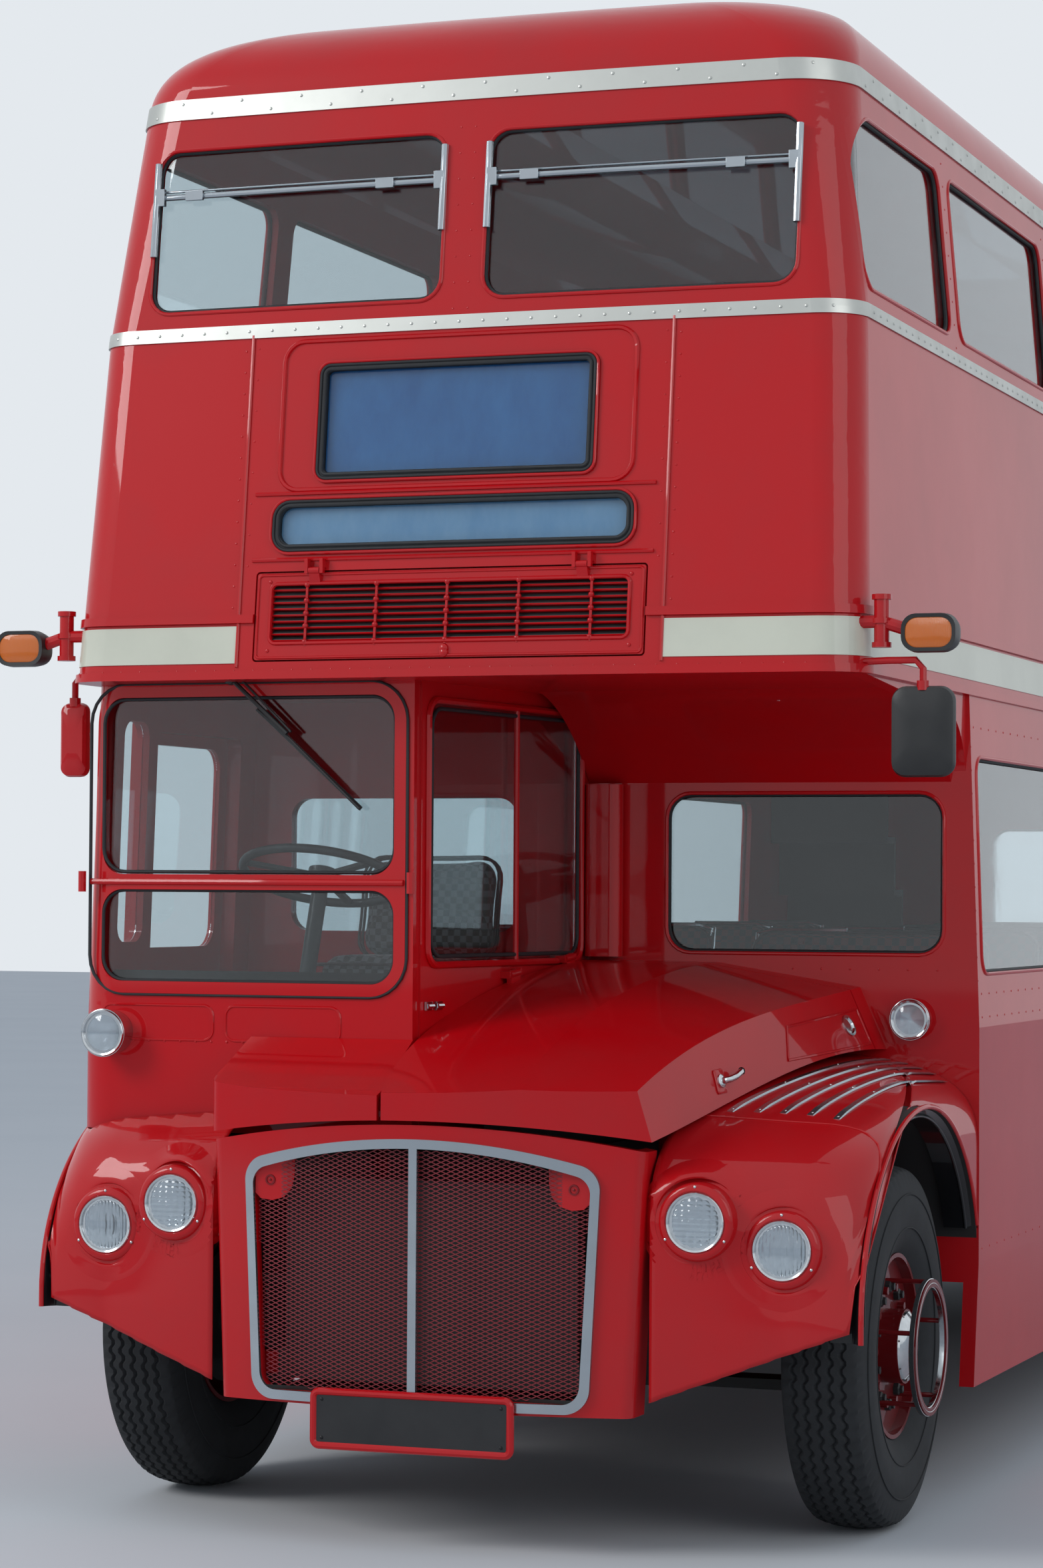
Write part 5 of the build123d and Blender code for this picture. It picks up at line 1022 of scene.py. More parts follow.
def makeBlinds():
    via, destination, cover = bmesh.new(), bmesh.new(), bmesh.new()
    columns = 16
    for linen, middle, wide, tall in ((via, viaHeight, 0.79, 0.293), (destination, destinationHeight, 1.04, 0.106)):
        for bm, sink in ((linen, 0.018), (cover, 0.008)):
            grid = []
            for i in range(columns + 1):
                x = -wide / 2 + wide * i / columns
                column = []
                for z in (middle - 0.5 * tall, middle + 0.5 * tall):
                    level = 0.212 + (z - 2.395) / 1.007 * 0.112
                    y = alongBus((level + 0.024 * (x / 1.15) ** 2) * 1000)
                    column.append(bm.verts.new((x, y + sink, z)))
                grid.append(column)
            for a, b in zip(grid, grid[1:]):
                bm.faces.new((a[0], b[0], b[1], a[1]))
    fromMesh("via_blind", via, viaLinenPaintedReflection, "body")
    fromMesh("destination_blind", destination, destinationLinenPaintedReflection, "body")
    fromMesh("blind_glass", cover, windowGlass, "body")
    beads, rubbers = bmesh.new(), bmesh.new()
    for middle, wide, tall, corner in ((viaHeight, 0.848, 0.351, 0.040), (destinationHeight, 1.098, 0.164, 0.060)):
        for bm, inset, radius in ((beads, 0.0035, 0.0045), (rubbers, 0.012, 0.0045), (rubbers, 0.024, 0.0055)):
            loop = spreadLoop(roundedLoop(wide - 2 * inset, tall - 2 * inset, corner - inset), 0.12)
            addFrontBead(bm, loop, middle, -0.0058, radius, 8)
    fromMesh("blind_frame_beads", beads, coachRed, "body")
    fromMesh("blind_frame_rubbers", rubbers, blackRubber, "body")


makeBlinds()


# Tread strips on the nearside wing, flat aluminium with tapered ends. Columns: X and distance of both ends
treadRows = [((0.758, 476), (0.940, 1505)), ((0.831, 492), (0.996, 1500)), ((0.903, 502), (1.043, 1492)),
             ((0.979, 508), (1.086, 1480)), ((1.055, 503), (1.126, 1455))]


def makeTreadStrips(rows):
    bm, screws = bmesh.new(), bmesh.new()
    steps = 48
    for (x0, d0), (x1, d1) in rows:
        last = None
        along = Vector((x1 - x0, (d1 - d0) / 1000, 0)).normalized()
        across = Vector((along.y, -along.x, 0))
        for k in range(steps + 1):
            share = k / steps
            above = (x0 + (x1 - x0) * share, alongBus(d0 + (d1 - d0) * share), 2.0)
            place, normal = wingPlace(1, above, (0, 0, -1))
            if place is None:
                continue
            thick = 0.0048 * min(1.0, 0.25 + 12 * min(share, 1 - share))
            ring = [bm.verts.new(place + across * w + normal * h)
                    for w, h in ((-0.0115, -0.001), (-0.0095, thick), (0.0095, thick), (0.0115, -0.001))]
            if last:
                for a in range(3):
                    bm.faces.new((last[a], last[a + 1], ring[a + 1], ring[a]))
            else:
                bm.faces.new(ring)
            last = ring
            if k in (1, 16, 32, 47):
                addDome(screws, place + normal * thick, normal, 0.0035, 0.0018, 10)
        bm.faces.new(reversed(last))
    fromMesh("wing_tread_strips", bm, brightTrim, "body")
    fromMesh("tread_strip_screws", screws, chrome, "body")


makeTreadStrips(treadRows)


wingSeam = {"crest": [(0.66, 424), (0.72, 426), (0.78, 430), (0.85, 434), (0.93, 440), (1.00, 448), (1.06, 460),
                      (1.10, 466), (1.13, 468), (1.155, 466)],
            "flank": [(1.115, 452), (1.08, 425), (1.04, 396), (1.00, 365)]}


def makeWingSeam(s):
    # rolled bead where the front pressing of the nearside wing meets the crest
    rays = [((x, alongBus(d), 2.0), (0, 0, -1)) for x, d in s["crest"]]
    rays += [((2.0, alongBus(d), z), (-1, 0, 0)) for z, d in s["flank"]]
    points = []
    for start, way in rays:
        place, normal = wingPlace(1, start, way)
        if place is not None:
            points.append(place + normal * 0.001)
    bm = bmesh.new()
    addTube(bm, points, 0.0035, 8)
    fromMesh("wing_seam_bead", bm, coachRed, "body")


makeWingSeam(wingSeam)
print("plates, blinds, tread strips")

# Tyre tread: five zigzag grooves, shoulder blocks and moulded wall rings. Wall: half width and radius
tyreShape = {"radius": 0.515, "half": 0.098, "blocks": 72, "groove": 0.009, "grooves": (0.70, 0.36, 0.0),
             "tread": (-1.0, -0.78, -0.70, -0.62, -0.44, -0.36, -0.28, -0.08, 0.0, 0.08, 0.28, 0.36, 0.44, 0.62, 0.70,
                       0.78, 1.0),
             "wall": [(0.106, 0.492), (0.118, 0.455), (0.125, 0.40), (0.1255, 0.385), (0.122, 0.34), (0.110, 0.30),
                      (0.090, 0.268), (0.085, 0.262)]}
wheelHeight = 0.515


def makeTyre(name, centres, body, replaced):
    s = tyreShape
    bm = bmesh.new()
    steps = s["blocks"] * 4
    for cx, cy in centres:
        rings = []
        for k in range(steps):
            turn = 2 * math.pi * k / steps
            zig = 0.05 * (1 if k % 4 < 2 else -1)
            tread = []
            for share in s["tread"]:
                shoulder = abs(share) > 0.9
                sunk = round(abs(share), 2) in s["grooves"]
                lift = s["radius"] - 0.015 * abs(share) ** 2.2 - (s["groove"] if sunk else 0)
                if shoulder and k % 4 == 0:
                    lift -= 0.006
                tread.append((cx + (share + (0 if shoulder else zig)) * s["half"], lift))
            wall = [(cx + w, r) for w, r in s["wall"]]
            other = [(2 * cx - x, r) for x, r in reversed(wall)]
            rings.append([bm.verts.new((x, cy + r * math.sin(turn), wheelHeight + r * math.cos(turn)))
                          for x, r in other + tread + wall])
        for k in range(steps):
            low, high = rings[k], rings[(k + 1) % steps]
            for a in range(len(low) - 1):
                bm.faces.new((low[a], low[a + 1], high[a + 1], high[a]))
        turns = [2 * math.pi * k / s["blocks"] for k in range(s["blocks"])]
        for way in (-1, 1):
            for r, out in ((0.335, 0.1215), (0.43, 0.1225)):
                loop = [(cx + way * out, cy + r * math.sin(a), wheelHeight + r * math.cos(a)) for a in turns]
                addTube(bm, loop, 0.0025, 6, closed=True)
    piece = fromMesh(name, bm, tyreRubber, body)
    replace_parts(piece, replaced)


frontY, rearY = alongBus(920), alongBus(6051)
for word, way in (("offside", -1), ("nearside", 1)):
    makeTyre("tyre_front_" + word, [(way * 1.030, frontY)], "front_wheel_" + word, "front_tyre_" + word)
    pair = [(way * x, rearY) for x in (1.060, 0.780)]
    makeTyre("tyre_rear_" + word, pair, "rear_wheel_" + word, "rear_tyres_" + word)
print("tyres")


# Wheel trims: chrome guard ring, domed hub cap and black stud nuts
def makeWheelTrim():
    nutCount, nutCircle = 10, 0.1675
    guardProfile = [(-0.010, 0.170), (-0.010, 0.192), (0.004, 0.194), (0.0105, 0.181), (0.004, 0.168), (-0.010, 0.170)]
    hubProfile = [(0.0, 0.100), (0.006, 0.098), (0.016, 0.08), (0.02, 0.05), (0.022, 0.0)]
    nutProfile = [(0, 0.019), (0.014, 0.018), (0.018, 0.012), (0.026, 0.0115), (0.026, 0.0)]
    for word, way in (("offside", -1), ("nearside", 1)):
        bm, nuts = bmesh.new(), bmesh.new()
        addLathe(bm, (way * 1.215, frontY, wheelHeight), (way, 0, 0), guardProfile, 72)
        addLathe(bm, (way * 1.150, frontY, wheelHeight), (way, 0, 0), hubProfile, 48)
        for k in range(nutCount):
            a = 2 * math.pi * (k + 0.5) / nutCount
            nut = (way * 1.09, frontY + nutCircle * math.cos(a), wheelHeight + nutCircle * math.sin(a))
            addLathe(nuts, nut, (way, 0, 0), nutProfile, 6)
        fromMesh("hub_ring_" + word, bm, chrome, "front_wheel_" + word)
        fromMesh("wheel_nuts_" + word, nuts, blackStove, "front_wheel_" + word)


makeWheelTrim()

# Upper front window fittings: bright side channels and a bar across the pane
windowFittings = {"centre": 0.520, "low": 3.468, "high": 3.952, "half": 0.456, "bar": 3.815}


def makeWindowFittings(s):
    bm = bmesh.new()
    bar = s["bar"]
    for side in (-1, 1):
        centre = side * s["centre"]
        for edge in (-1, 1):
            x = centre + edge * (s["half"] - 0.004)
            zs = [s["high"] - 0.035, bar, s["low"] + (0.17 if edge * side > 0 else 0.20)]
            addTube(bm, [(x, leaningFrontY(x, z, -0.004), z) for z in zs], 0.011, 8)
            addBox(bm, (x - edge * 0.012, leaningFrontY(x, bar, -0.006), bar), (0.03, 0.016, 0.05))
        xs = [centre - (s["half"] - 0.012) + (2 * s["half"] - 0.024) * k / 12 for k in range(13)]
        points = [(x, leaningFrontY(x, bar, 0.002), bar) for x in xs]
        addTube(bm, points, 0.009, 8)
        addTube(bm, [(x, y + 0.006, z + 0.017) for x, y, z in points], 0.004, 6)
        for share in (0.14, 0.80):
            x = centre - s["half"] + 2 * s["half"] * share
            addBox(bm, (x, leaningFrontY(x, bar, -0.008), bar), (0.055, 0.012, 0.028))
    fromMesh("front_window_fittings", bm, brightTrim, "body", bevel=0.001)


makeWindowFittings(windowFittings)

# Strips and mouldings on the front: centre panel edges, frame round the blind, belt beads
frontMouldings = {"centreHalf": 0.634, "blindHalf": 0.53, "blindLow": 2.935, "blindHigh": 3.365,
                  "belts": (2.925, 2.735)}


def makeMouldings(s):
    bm = bmesh.new()
    for side in (-1, 1):
        x = side * s["centreHalf"]
        addTube(bm, [(x, leaningFrontY(x, z, -0.002), z) for z in [2.43 + 0.96 * k / 12 for k in range(13)]], 0.005, 6)
    loop = spreadLoop(roundedLoop(s["blindHalf"] * 2, s["blindHigh"] - s["blindLow"], 0.06), 0.12)
    addFrontBead(bm, loop, (s["blindHigh"] + s["blindLow"]) / 2, -0.001, 0.007)
    for z in s["belts"]:
        addTube(bm, [(x, leaningFrontY(x, z, -0.002), z) for x in [-0.60 + 1.2 * k / 12 for k in range(13)]], 0.006, 6)
    fromMesh("front_mouldings", bm, coachRed, "body")


makeMouldings(frontMouldings)


# Vent flap: round collars on the rods, beads round the slats and the frame, catch and corner screws
def makeFlapDetail():
    bm = bmesh.new()
    rodHalf, rodCount = 0.532, 5
    for i in range(rodCount):
        x = -rodHalf + (i + 0.5) * 2 * rodHalf / rodCount
        for z in (2.500, 2.545, 2.581, 2.617, 2.662):
            bmesh.ops.create_uvsphere(bm, u_segments=10, v_segments=6, radius=0.0085,
                                      matrix=Matrix.Translation((x, leaningFrontY(x, z), z)))
    addFrontBead(bm, spreadLoop(roundedLoop(1.072, 0.170, 0.02), 0.12), 2.581, -0.001, 0.006)
    addFrontBead(bm, spreadLoop(roundedLoop(1.15, 0.236, 0.012), 0.12), 2.573, -0.0005, 0.004)
    catch = [(0.0, z, 0.014, 0.012, 12) for z in (2.474, 2.462)]
    corners = [(x, z, 0.006, 0.004, 8) for x in (-0.54, 0.54) for z in (2.475, 2.672)]
    for x, z, radius, rise, sides in catch + corners:
        addDome(bm, (x, leaningFrontY(x, z), z), (0, -1, 0), radius, rise, sides)
    fromMesh("vent_flap_detail", bm, coachRed, "vent_flap")


makeFlapDetail()


# Vent slats: dark sheets behind their red front edges, painted shade so that the gaps between them read as open
ventSlatShade = {"count": 9, "low": 2.500, "pitch": 0.018, "half": 0.529, "tilt": 40, "start": -0.0058, "end": 0.0098,
             "gap": 0.0016, "thick": 0.0006}


def makeVentSlatShadeSheets(s):
    bm = bmesh.new()
    tilt = math.radians(s["tilt"])
    along, out = Vector((0, math.cos(tilt), math.sin(tilt))), Vector((0, -math.sin(tilt), math.cos(tilt)))
    under, over = s["gap"], s["gap"] + s["thick"]
    section = ((s["start"], under), (s["start"] + 0.001, over), (s["end"], over), (s["end"], under))
    for i in range(s["count"]):
        z = s["low"] + (i + 0.5) * s["pitch"]
        middle = Vector((0, leaningFrontY(0.3, z) + 0.013, z))
        rings = [[bm.verts.new(middle + Vector((x, 0, 0)) + along * t + out * rise) for t, rise in section]
                 for x in (-s["half"], s["half"])]
        bridgeRings(bm, rings)
        bm.faces.new(rings[0][::-1])
        bm.faces.new(rings[1])
    # the black sheets are painted shade in the gaps between the slats
    fromMesh("vent_slat_painted_shade", bm, blackStove, "vent_flap", smooth=False)


makeVentSlatShadeSheets(ventSlatShade)
print("front fittings")

# Windscreen: black rubber round both panes and the frame, red hinges and bar, wiper
screenX = -0.664
screenPanes = [(screenX, 2.10, 0.928, 0.506, 0.07), (screenX, 1.665, 0.928, 0.266, 0.07)]


def bowedCabY(x):
    return alongBus(361 + 24 * (x / 1.19) ** 2)


def cabFrontY(x, z, sink=0.0):
    # cab front face as the CAD draws it, bowed and turned at its offside corner
    place, _ = castOnto("cab_front", (x, -6.0, z), (0, 1, 0))
    return (place.y if place is not None else bowedCabY(x)) + sink


def makeWindscreen(panes):
    rubber, red, wiper = bmesh.new(), bmesh.new(), bmesh.new()
    rims = [(x, z, roundedLoop(wide - 0.004, tall - 0.004, corner), 0.004, 0.0055)
            for x, z, wide, tall, corner in panes]
    rims.append((screenX, 1.9435, roundedLoop(1.004, 0.899, 0.112), -0.003, 0.005))
    for x, z, loop, sink, radius in rims:
        points = [(x + a, bowedCabY(x + a) + sink, z + b) for a, b in spreadLoop(loop, 0.1)]
        addTube(rubber, points, radius, 8, closed=True)
    for side in (-1, 1):
        addTube(red, [(screenX + side * 0.515, alongBus(366) - 0.012, z) for z in (1.79, 1.85)], 0.012, 8)
    addTube(red, [(x, bowedCabY(x) - 0.010, 1.82) for x in (-1.16, -0.9, -0.66, -0.42, -0.17)], 0.009, 8)
    pivot, elbow = Vector((-0.70, alongBus(330), 2.405)), Vector((-0.52, alongBus(325), 2.245))
    start, tip = Vector((-0.62, alongBus(338), 2.315)), Vector((-0.30, alongBus(338), 2.03))
    addTube(wiper, [pivot, pivot + (elbow - pivot) * 0.5, elbow], 0.007, 8)
    addTube(wiper, [pivot + Vector((0.03, 0.0, 0.0)), elbow + Vector((0.012, 0, 0.005))], 0.004, 8)
    addTube(wiper, [start, elbow + Vector((0.0, 0.008, -0.01)), tip], 0.005, 8)
    addBox(wiper, (start + tip) / 2 + Vector((0, 0.012, 0)), (0.006, 0.012, (tip - start).length),
           (tip - start).to_track_quat("Z", "Y").to_matrix())
    addDome(wiper, pivot, (0, -1, 0), 0.02, 0.018, 14)
    fromMesh("windscreen_rubber", rubber, blackRubber, "body")
    fromMesh("windscreen_hinges", red, coachRed, "body")
    fromMesh("wiper", wiper, blackStove, "body")


makeWindscreen(screenPanes)

# Flush hatches under the windscreen, catches on the cab's inner wall and a row of rivets
cabDetails = {"hatches": [(-0.945, 1.414, 0.36, 0.10), (-0.545, 1.414, 0.36, 0.10)], "catches": (452, 512),
              "rivets": 20, "rivetZ": 1.36}


def makeCabDetails(s):
    red, metal = bmesh.new(), bmesh.new()
    for x, z, wide, tall in s["hatches"]:
        loop = spreadLoop(roundedLoop(wide, tall, 0.03), 0.1)
        addTube(red, [(x + a, cabFrontY(x + a, z + b), z + b) for a, b in loop], 0.004, 6, closed=True)
    for d in s["catches"]:
        place, normal = castOnto("cab_inner_wall", (1.5, alongBus(d), 1.471), (-1, 0, 0))
        if place is not None:
            foot, reach = place + normal * 0.010, Vector((0, 0.020, 0))
            addBox(metal, place + normal * 0.004, (0.008, 0.044, 0.024))
            addTube(metal, [foot - reach, place + normal * 0.018, foot + reach], 0.007, 8)
    for k in range(s["rivets"]):
        x = -1.12 + k * 0.05
        addDome(red, (x, cabFrontY(x, s["rivetZ"]), s["rivetZ"]), (0, -1, 0), 0.004, 0.003, 8)
    fromMesh("cab_hatches", red, coachRed, "body")
    fromMesh("cab_catches", metal, chrome, "body")


makeCabDetails(cabDetails)


# Red frame and rubber of the window in the cab's inner wall, with its upright bar
def makeCabWallFrame():
    red, rubber = bmesh.new(), bmesh.new()
    front, rear = Vector((-0.143, alongBus(361), 0)), Vector((-0.018, alongBus(1518), 0))
    run = (rear - front).normalized()
    out = Vector((run.y, -run.x, 0))
    length = (rear - front).length
    mid = front + run * (length / 2 + 0.010) + Vector((0, 0, 1.966))
    for bm, grow, radius, push in ((red, 0.004, 0.011, 0.003), (rubber, -0.02, 0.006, 0.002)):
        loop = roundedLoop(length - 0.150 + grow * 2, 0.750 + grow * 2, 0.055)
        addTube(bm, [mid + run * p + Vector((0, 0, q)) + out * push for p, q in loop], radius, 8, closed=True)
    addTube(red, [mid + run * 0.06 + Vector((0, 0, q)) + out * 0.002 for q in (-0.37, 0.37)], 0.009, 8)
    fromMesh("cab_wall_frame", red, coachRed, "body")
    fromMesh("cab_wall_rubber", rubber, blackRubber, "body")


makeCabWallFrame()


# Bonnet: chrome lever on a red plate, outline of the hatch on the skirt, round catch
def makeBonnetDetail():
    red, metal, chromed = bmesh.new(), bmesh.new(), bmesh.new()

    def onSkirt(d, z):
        return castOnto("bonnet", (3.0, alongBus(d), z), (-1, 0, 0))

    place, normal = onSkirt(509, 1.273)
    if place:
        along = (Vector((0, 1, 0)) - normal * normal.y).normalized()
        up = normal.cross(along) if normal.cross(along).z > 0 else along.cross(normal)
        rings = [[red.verts.new(place + along * a * grow + up * b * grow + normal * rise)
                  for a, b in roundedLoop(0.052, 0.070, 0.008)]
                 for grow, rise in ((1.0, -0.001), (1.0, 0.003), (0.9, 0.0055))]
        bridgeRings(red, rings)
        red.faces.new(rings[-1])
        # lever: how far it stands out, runs back and rises
        lever = [place + normal * out + along * back + up * rise
                 for out, back, rise in ((0, 0, 0), (0.020, 0, 0), (0.027, 0.012, 0), (0.029, 0.045, 0.004),
                                         (0.027, 0.090, 0.016))]
        addTube(chromed, lever, 0.0095, 14)
        addLathe(chromed, place, normal, [(0.003, 0.020), (0.010, 0.019), (0.014, 0.012), (0.015, 0.0)], 24)
        addDome(chromed, place + normal * 0.027 + along * 0.088 + up * 0.0155, along, 0.0115, 0.007, 16)
    hatch = [(905, 1.318), (1425, 1.350), (1425, 1.452), (960, 1.412)]
    points = []
    for (d0, z0), (d1, z1) in zip(hatch, hatch[1:] + hatch[:1]):
        for k in range(10):
            place, normal = onSkirt(d0 + (d1 - d0) * k / 10, z0 + (z1 - z0) * k / 10)
            if place:
                points.append(place)
    if len(points) > 8:
        addTube(red, points, 0.0045, 6, closed=True)
    place, normal = onSkirt(1330, 1.405)
    if place:
        catch = [(-0.002, 0.034), (0.006, 0.033), (0.006, 0.026), (0.001, 0.022), (0.001, 0.0)]
        addLathe(metal, place, normal, catch, 28)
    fromMesh("bonnet_lines", red, coachRed, "bonnet_lid")
    fromMesh("bonnet_catch", metal, chrome, "bonnet_lid")
    fromMesh("bonnet_handle", chromed, chrome, "bonnet_lid")


makeBonnetDetail()
print("cab and bonnet fittings")


# Indicator ears on red brackets, mirrors on red tube arms
def makeEars():
    cases, lenses, brackets = bmesh.new(), bmesh.new(), bmesh.new()
    earY, z = alongBus(330), 2.500
    outer = roundedLoop(0.150, 0.102, 0.040)
    for side in (-1, 1):
        x, stem = side * 1.362, side * 1.225
        rings = [loopOf(cases, outer, x, earY + deep, z, growX, growZ)
                 for deep, growX, growZ in ((-0.036, 0.86, 0.80), (-0.037, 1.0, 1.0), (0, 1.03, 1.04),
                                            (0.037, 0.96, 0.93))]
        bridgeRings(cases, rings)
        cases.faces.new(rings[-1])
        lens = [loopOf(lenses, outer, x, earY + deep, z, growX, growZ)
                for deep, growX, growZ in ((-0.034, 0.86, 0.80), (-0.039, 0.6, 0.5))]
        bridgeRings(lenses, lens)
        lenses.faces.new(lens[-1])
        addTube(brackets, [(side * 1.160, earY, 2.5335), (stem, earY, 2.5335), (side * 1.292, earY, 2.512)], 0.018, 10)
        addTube(brackets, [(stem, earY, 2.47), (stem, earY, 2.60)], 0.021, 12)
        for q in (2.47, 2.535, 2.60):
            addTube(brackets, [(stem, earY, q - 0.007), (stem, earY, q + 0.007)], 0.027, 12)
    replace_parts(fromMesh("ear_cases", cases, blackMoulding, "body"), "indicator_ears")
    fromMesh("ear_lenses", lenses, amberLens, "body")
    fromMesh("ear_brackets", brackets, coachRed, "body")


makeEars()


# Columns: X, distance, half width, half height, middle height
mirrorRows = [(1.340, 330, 0.088, 0.123, 2.235), (-1.266, 470, 0.0425, 0.110, 2.238)]


def makeMirrors(rows):
    heads = {"nearside": bmesh.new(), "offside": bmesh.new()}
    plates, arms = bmesh.new(), bmesh.new()
    for x, d, half, tall, middle in rows:
        y = alongBus(d)
        case = heads["nearside" if x > 0 else "offside"]
        side = 1 if x > 0 else -1
        loop = roundedLoop(half * 2, tall * 2, min(0.04, half * 0.6))
        rings = [loopOf(case, loop, x, y + deep, middle, grow, grow)
                 for grow, deep in ((0.30, -0.0195), (0.78, -0.0185), (0.96, -0.010), (1.0, 0.004), (0.99, 0.016),
                                    (0.93, 0.019))]
        bridgeRings(case, rings)
        case.faces.new(rings[0])
        plates.faces.new(loopOf(plates, loop, x, y + 0.018, middle, 0.93, 0.93))
        top, armZ = middle + tall, 2.428
        addTube(arms, [(side * 1.150, y, armZ - 0.003), (side * 1.24, y, armZ), (x - side * 0.02, y, armZ),
                       (x, y, 2.405), (x, y, top - 0.05)], 0.010, 10)
        addTube(arms, [(x, y, top - 0.012), (x, y, top + 0.014)], 0.017, 12)
    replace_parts(fromMesh("mirror_heads", heads["nearside"], blackMoulding, "body"), "mirrors")
    fromMesh("mirror_head_offside", heads["offside"], coachRed, "body")
    fromMesh("mirror_plates", plates, chrome, "body")
    fromMesh("mirror_arms", arms, coachRed, "body")


makeMirrors(mirrorRows)
print("ears and mirrors")


# Grille: red corner gussets with latches
def makeGrilleTrim():
    metal, red = bmesh.new(), bmesh.new()
    outline = [(0.372, 1.088), (0.490, 1.050), (0.492, 0.958), (0.474, 0.942), (0.440, 0.938), (0.405, 0.948),
               (0.383, 0.972), (0.374, 1.005)]
    latch = [(0.001, 0.015), (-0.002, 0.0145), (-0.002, 0.0105), (0.001, 0.010), (0.003, 0.004), (-0.003, 0.003),
             (-0.004, 0.0)]
    y = alongBus(30 + 430 ** 2 / 5160)
    for side in (-1, 1):
        rings = [[red.verts.new((side * px, y + deep, pz)) for px, pz in outline] for deep in (0, 0.004)]
        red.faces.new(rings[0])
        red.faces.new(reversed(rings[1]))
        bridgeRings(red, rings)
        addLathe(metal, (side * 0.446, y - 0.001, 0.995), (0, 1, 0), latch, 20)
    fromMesh("grille_gussets", red, coachRed, "body", smooth=False, bevel=0.0012)
    # the latches take the darker copy of the coach red: painted shade
    fromMesh("grille_latches", metal, coachRedPaintedShade, "body")


makeGrilleTrim()


# Leaves of the platform doors. Columns: name, start of the leaf, middle of the rubber on its meeting edge
leafRows = [("door_leaf_1", 7200, None), ("door_leaf_2", 7434, 7668), ("door_leaf_3", 7690, 7684),
            ("door_leaf_4", 7924, None)]
leafShape = {"half": 0.114, "wide": 0.158, "corner": 0.060, "inside": 1.150, "outside": 1.180, "low": 0.375,
             "high": 2.244}


def addPane(bm, x, across, z, wide, tall, corner, thick=0.005):
    # toughened pane standing along the bus
    loop = roundedLoop(wide, tall, corner)
    rings = [[bm.verts.new((x + deep, across + a, z + b)) for a, b in loop] for deep in (-thick / 2, thick / 2)]
    bm.faces.new(reversed(rings[0]))
    bm.faces.new(rings[1])
    bridgeRings(bm, rings)


def makeLeaves(rows, s):
    for name, start, meeting in rows:
        glass, rubber = bmesh.new(), bmesh.new()
        y = alongBus(start) + s["half"]
        wide, corner = s["wide"], s["corner"]
        for z, tall in ((1.640, 0.900), (0.740, 0.460)):
            addPane(glass, (s["inside"] + s["outside"]) / 2, y, z, wide - 0.002, tall - 0.002, corner - 0.001)
            for x in (s["inside"] + 0.009, s["outside"] - 0.009):
                loop = spreadLoop(roundedLoop(wide - 0.006, tall - 0.006, corner - 0.003), 0.1)
                addTube(rubber, [(x, y + a, z + b) for a, b in loop], 0.0055, 8, closed=True)
        if meeting:
            middle, tall = (s["low"] + s["high"]) / 2, s["high"] - s["low"]
            addBox(rubber, (1.165, alongBus(meeting), middle), (0.020, 0.012, tall - 0.02))
        fromMesh(name + "_glass", glass, windowGlass, name, smooth=False)
        fromMesh(name + "_rubber", rubber, blackRubber, name)


makeLeaves(leafRows, leafShape)


def makeRearLampRims():
    bm, lenses = bmesh.new(), bmesh.new()
    back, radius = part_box("rear_lamps")[1].y, 0.045
    rim = [(-0.014, radius + 0.008), (-0.006, radius + 0.007), (-0.001, radius + 0.003), (-0.002, radius - 0.002),
           (-0.006, radius - 0.004)]
    for side in (-1, 1):
        for z in (1.180, 1.300, 1.420):
            addLathe(bm, (side * 1.040, back, z), (0, 1, 0), rim, 40)
            addDome(lenses, (side * 1.040, back - 0.0085, z), (0, 1, 0), radius - 0.003, 0.0083, 40)
    fromMesh("rear_lamp_rims", bm, chrome, "body")
    fromMesh("rear_lamp_lenses", lenses, redLens, "body")


makeRearLampRims()
print("door leaves and rear lamps")


# Padded forms: share of the outline and share of the thickness, from the underside up over the crown
padLevels = [(0.86, 0.0), (0.95, 0.05), (0.99, 0.20), (1.0, 0.42), (1.0, 0.60), (0.985, 0.76), (0.95, 0.87),
             (0.86, 0.95), (0.68, 1.0), (0.45, 1.04), (0.22, 1.06), (0.06, 1.065)]


def drawnOutline(wide, deep, corner, pull):
    # rounded outline, its sides drawn in between the corners
    points = []
    for a, b in spreadLoop(roundedLoop(wide, deep, corner, 5), 0.06):
        inX = 1 - pull * (1 - min(1.0, abs(2 * b / deep)) ** 2)
        inY = 1 - pull * (1 - min(1.0, abs(2 * a / wide)) ** 2)
        points.append((a * inX, b * inY))
    return points


def addPad(bm, centre, wide, deep, thick, turn, corner, pull):
    # crowned closed cushion
    outline = drawnOutline(wide, deep, corner, pull)
    rings = [[bm.verts.new(Vector(centre) + turn @ Vector((a * share, b * share, (rise - 0.5) * thick)))
              for a, b in outline] for share, rise in padLevels]
    bridgeRings(bm, rings)
    bm.faces.new(reversed(rings[0]))
    bm.faces.new(rings[-1])


def addPiping(bm, centre, wide, deep, lift, turn, corner, pull, radius=0.0045):
    outline = drawnOutline(wide, deep, corner, pull)
    addTube(bm, [Vector(centre) + turn @ Vector((a, b, lift)) for a, b in outline], radius, 6, closed=True)


# The rear wheel boxes lift the seats over them: start and end of the boxes
boxSpan = (5441, 6661)
upperDeck, lowerDeck, seatPitch, seatRun = 2.540, 0.700, 740, 500

# Double seats. Columns: distance of the front edge, side, floor, height of the base
seatRows = [(960 + seatPitch * i, side, upperDeck, 2.740) for i in range(8) for side in (-1, 1)]
for d in [1760 + seatPitch * i for i in range(5)]:
    seatRows += [(d, side, lowerDeck, 0.990 if boxSpan[0] - seatRun < d < boxSpan[1] else 0.900) for side in (-1, 1)]
seatShape = {"middle": 0.685, "wide": 0.784, "deep": 0.405, "thick": 0.094, "tall": 0.560, "back": 0.062,
             "tilt": math.radians(2.9), "lean": math.radians(84.0)}


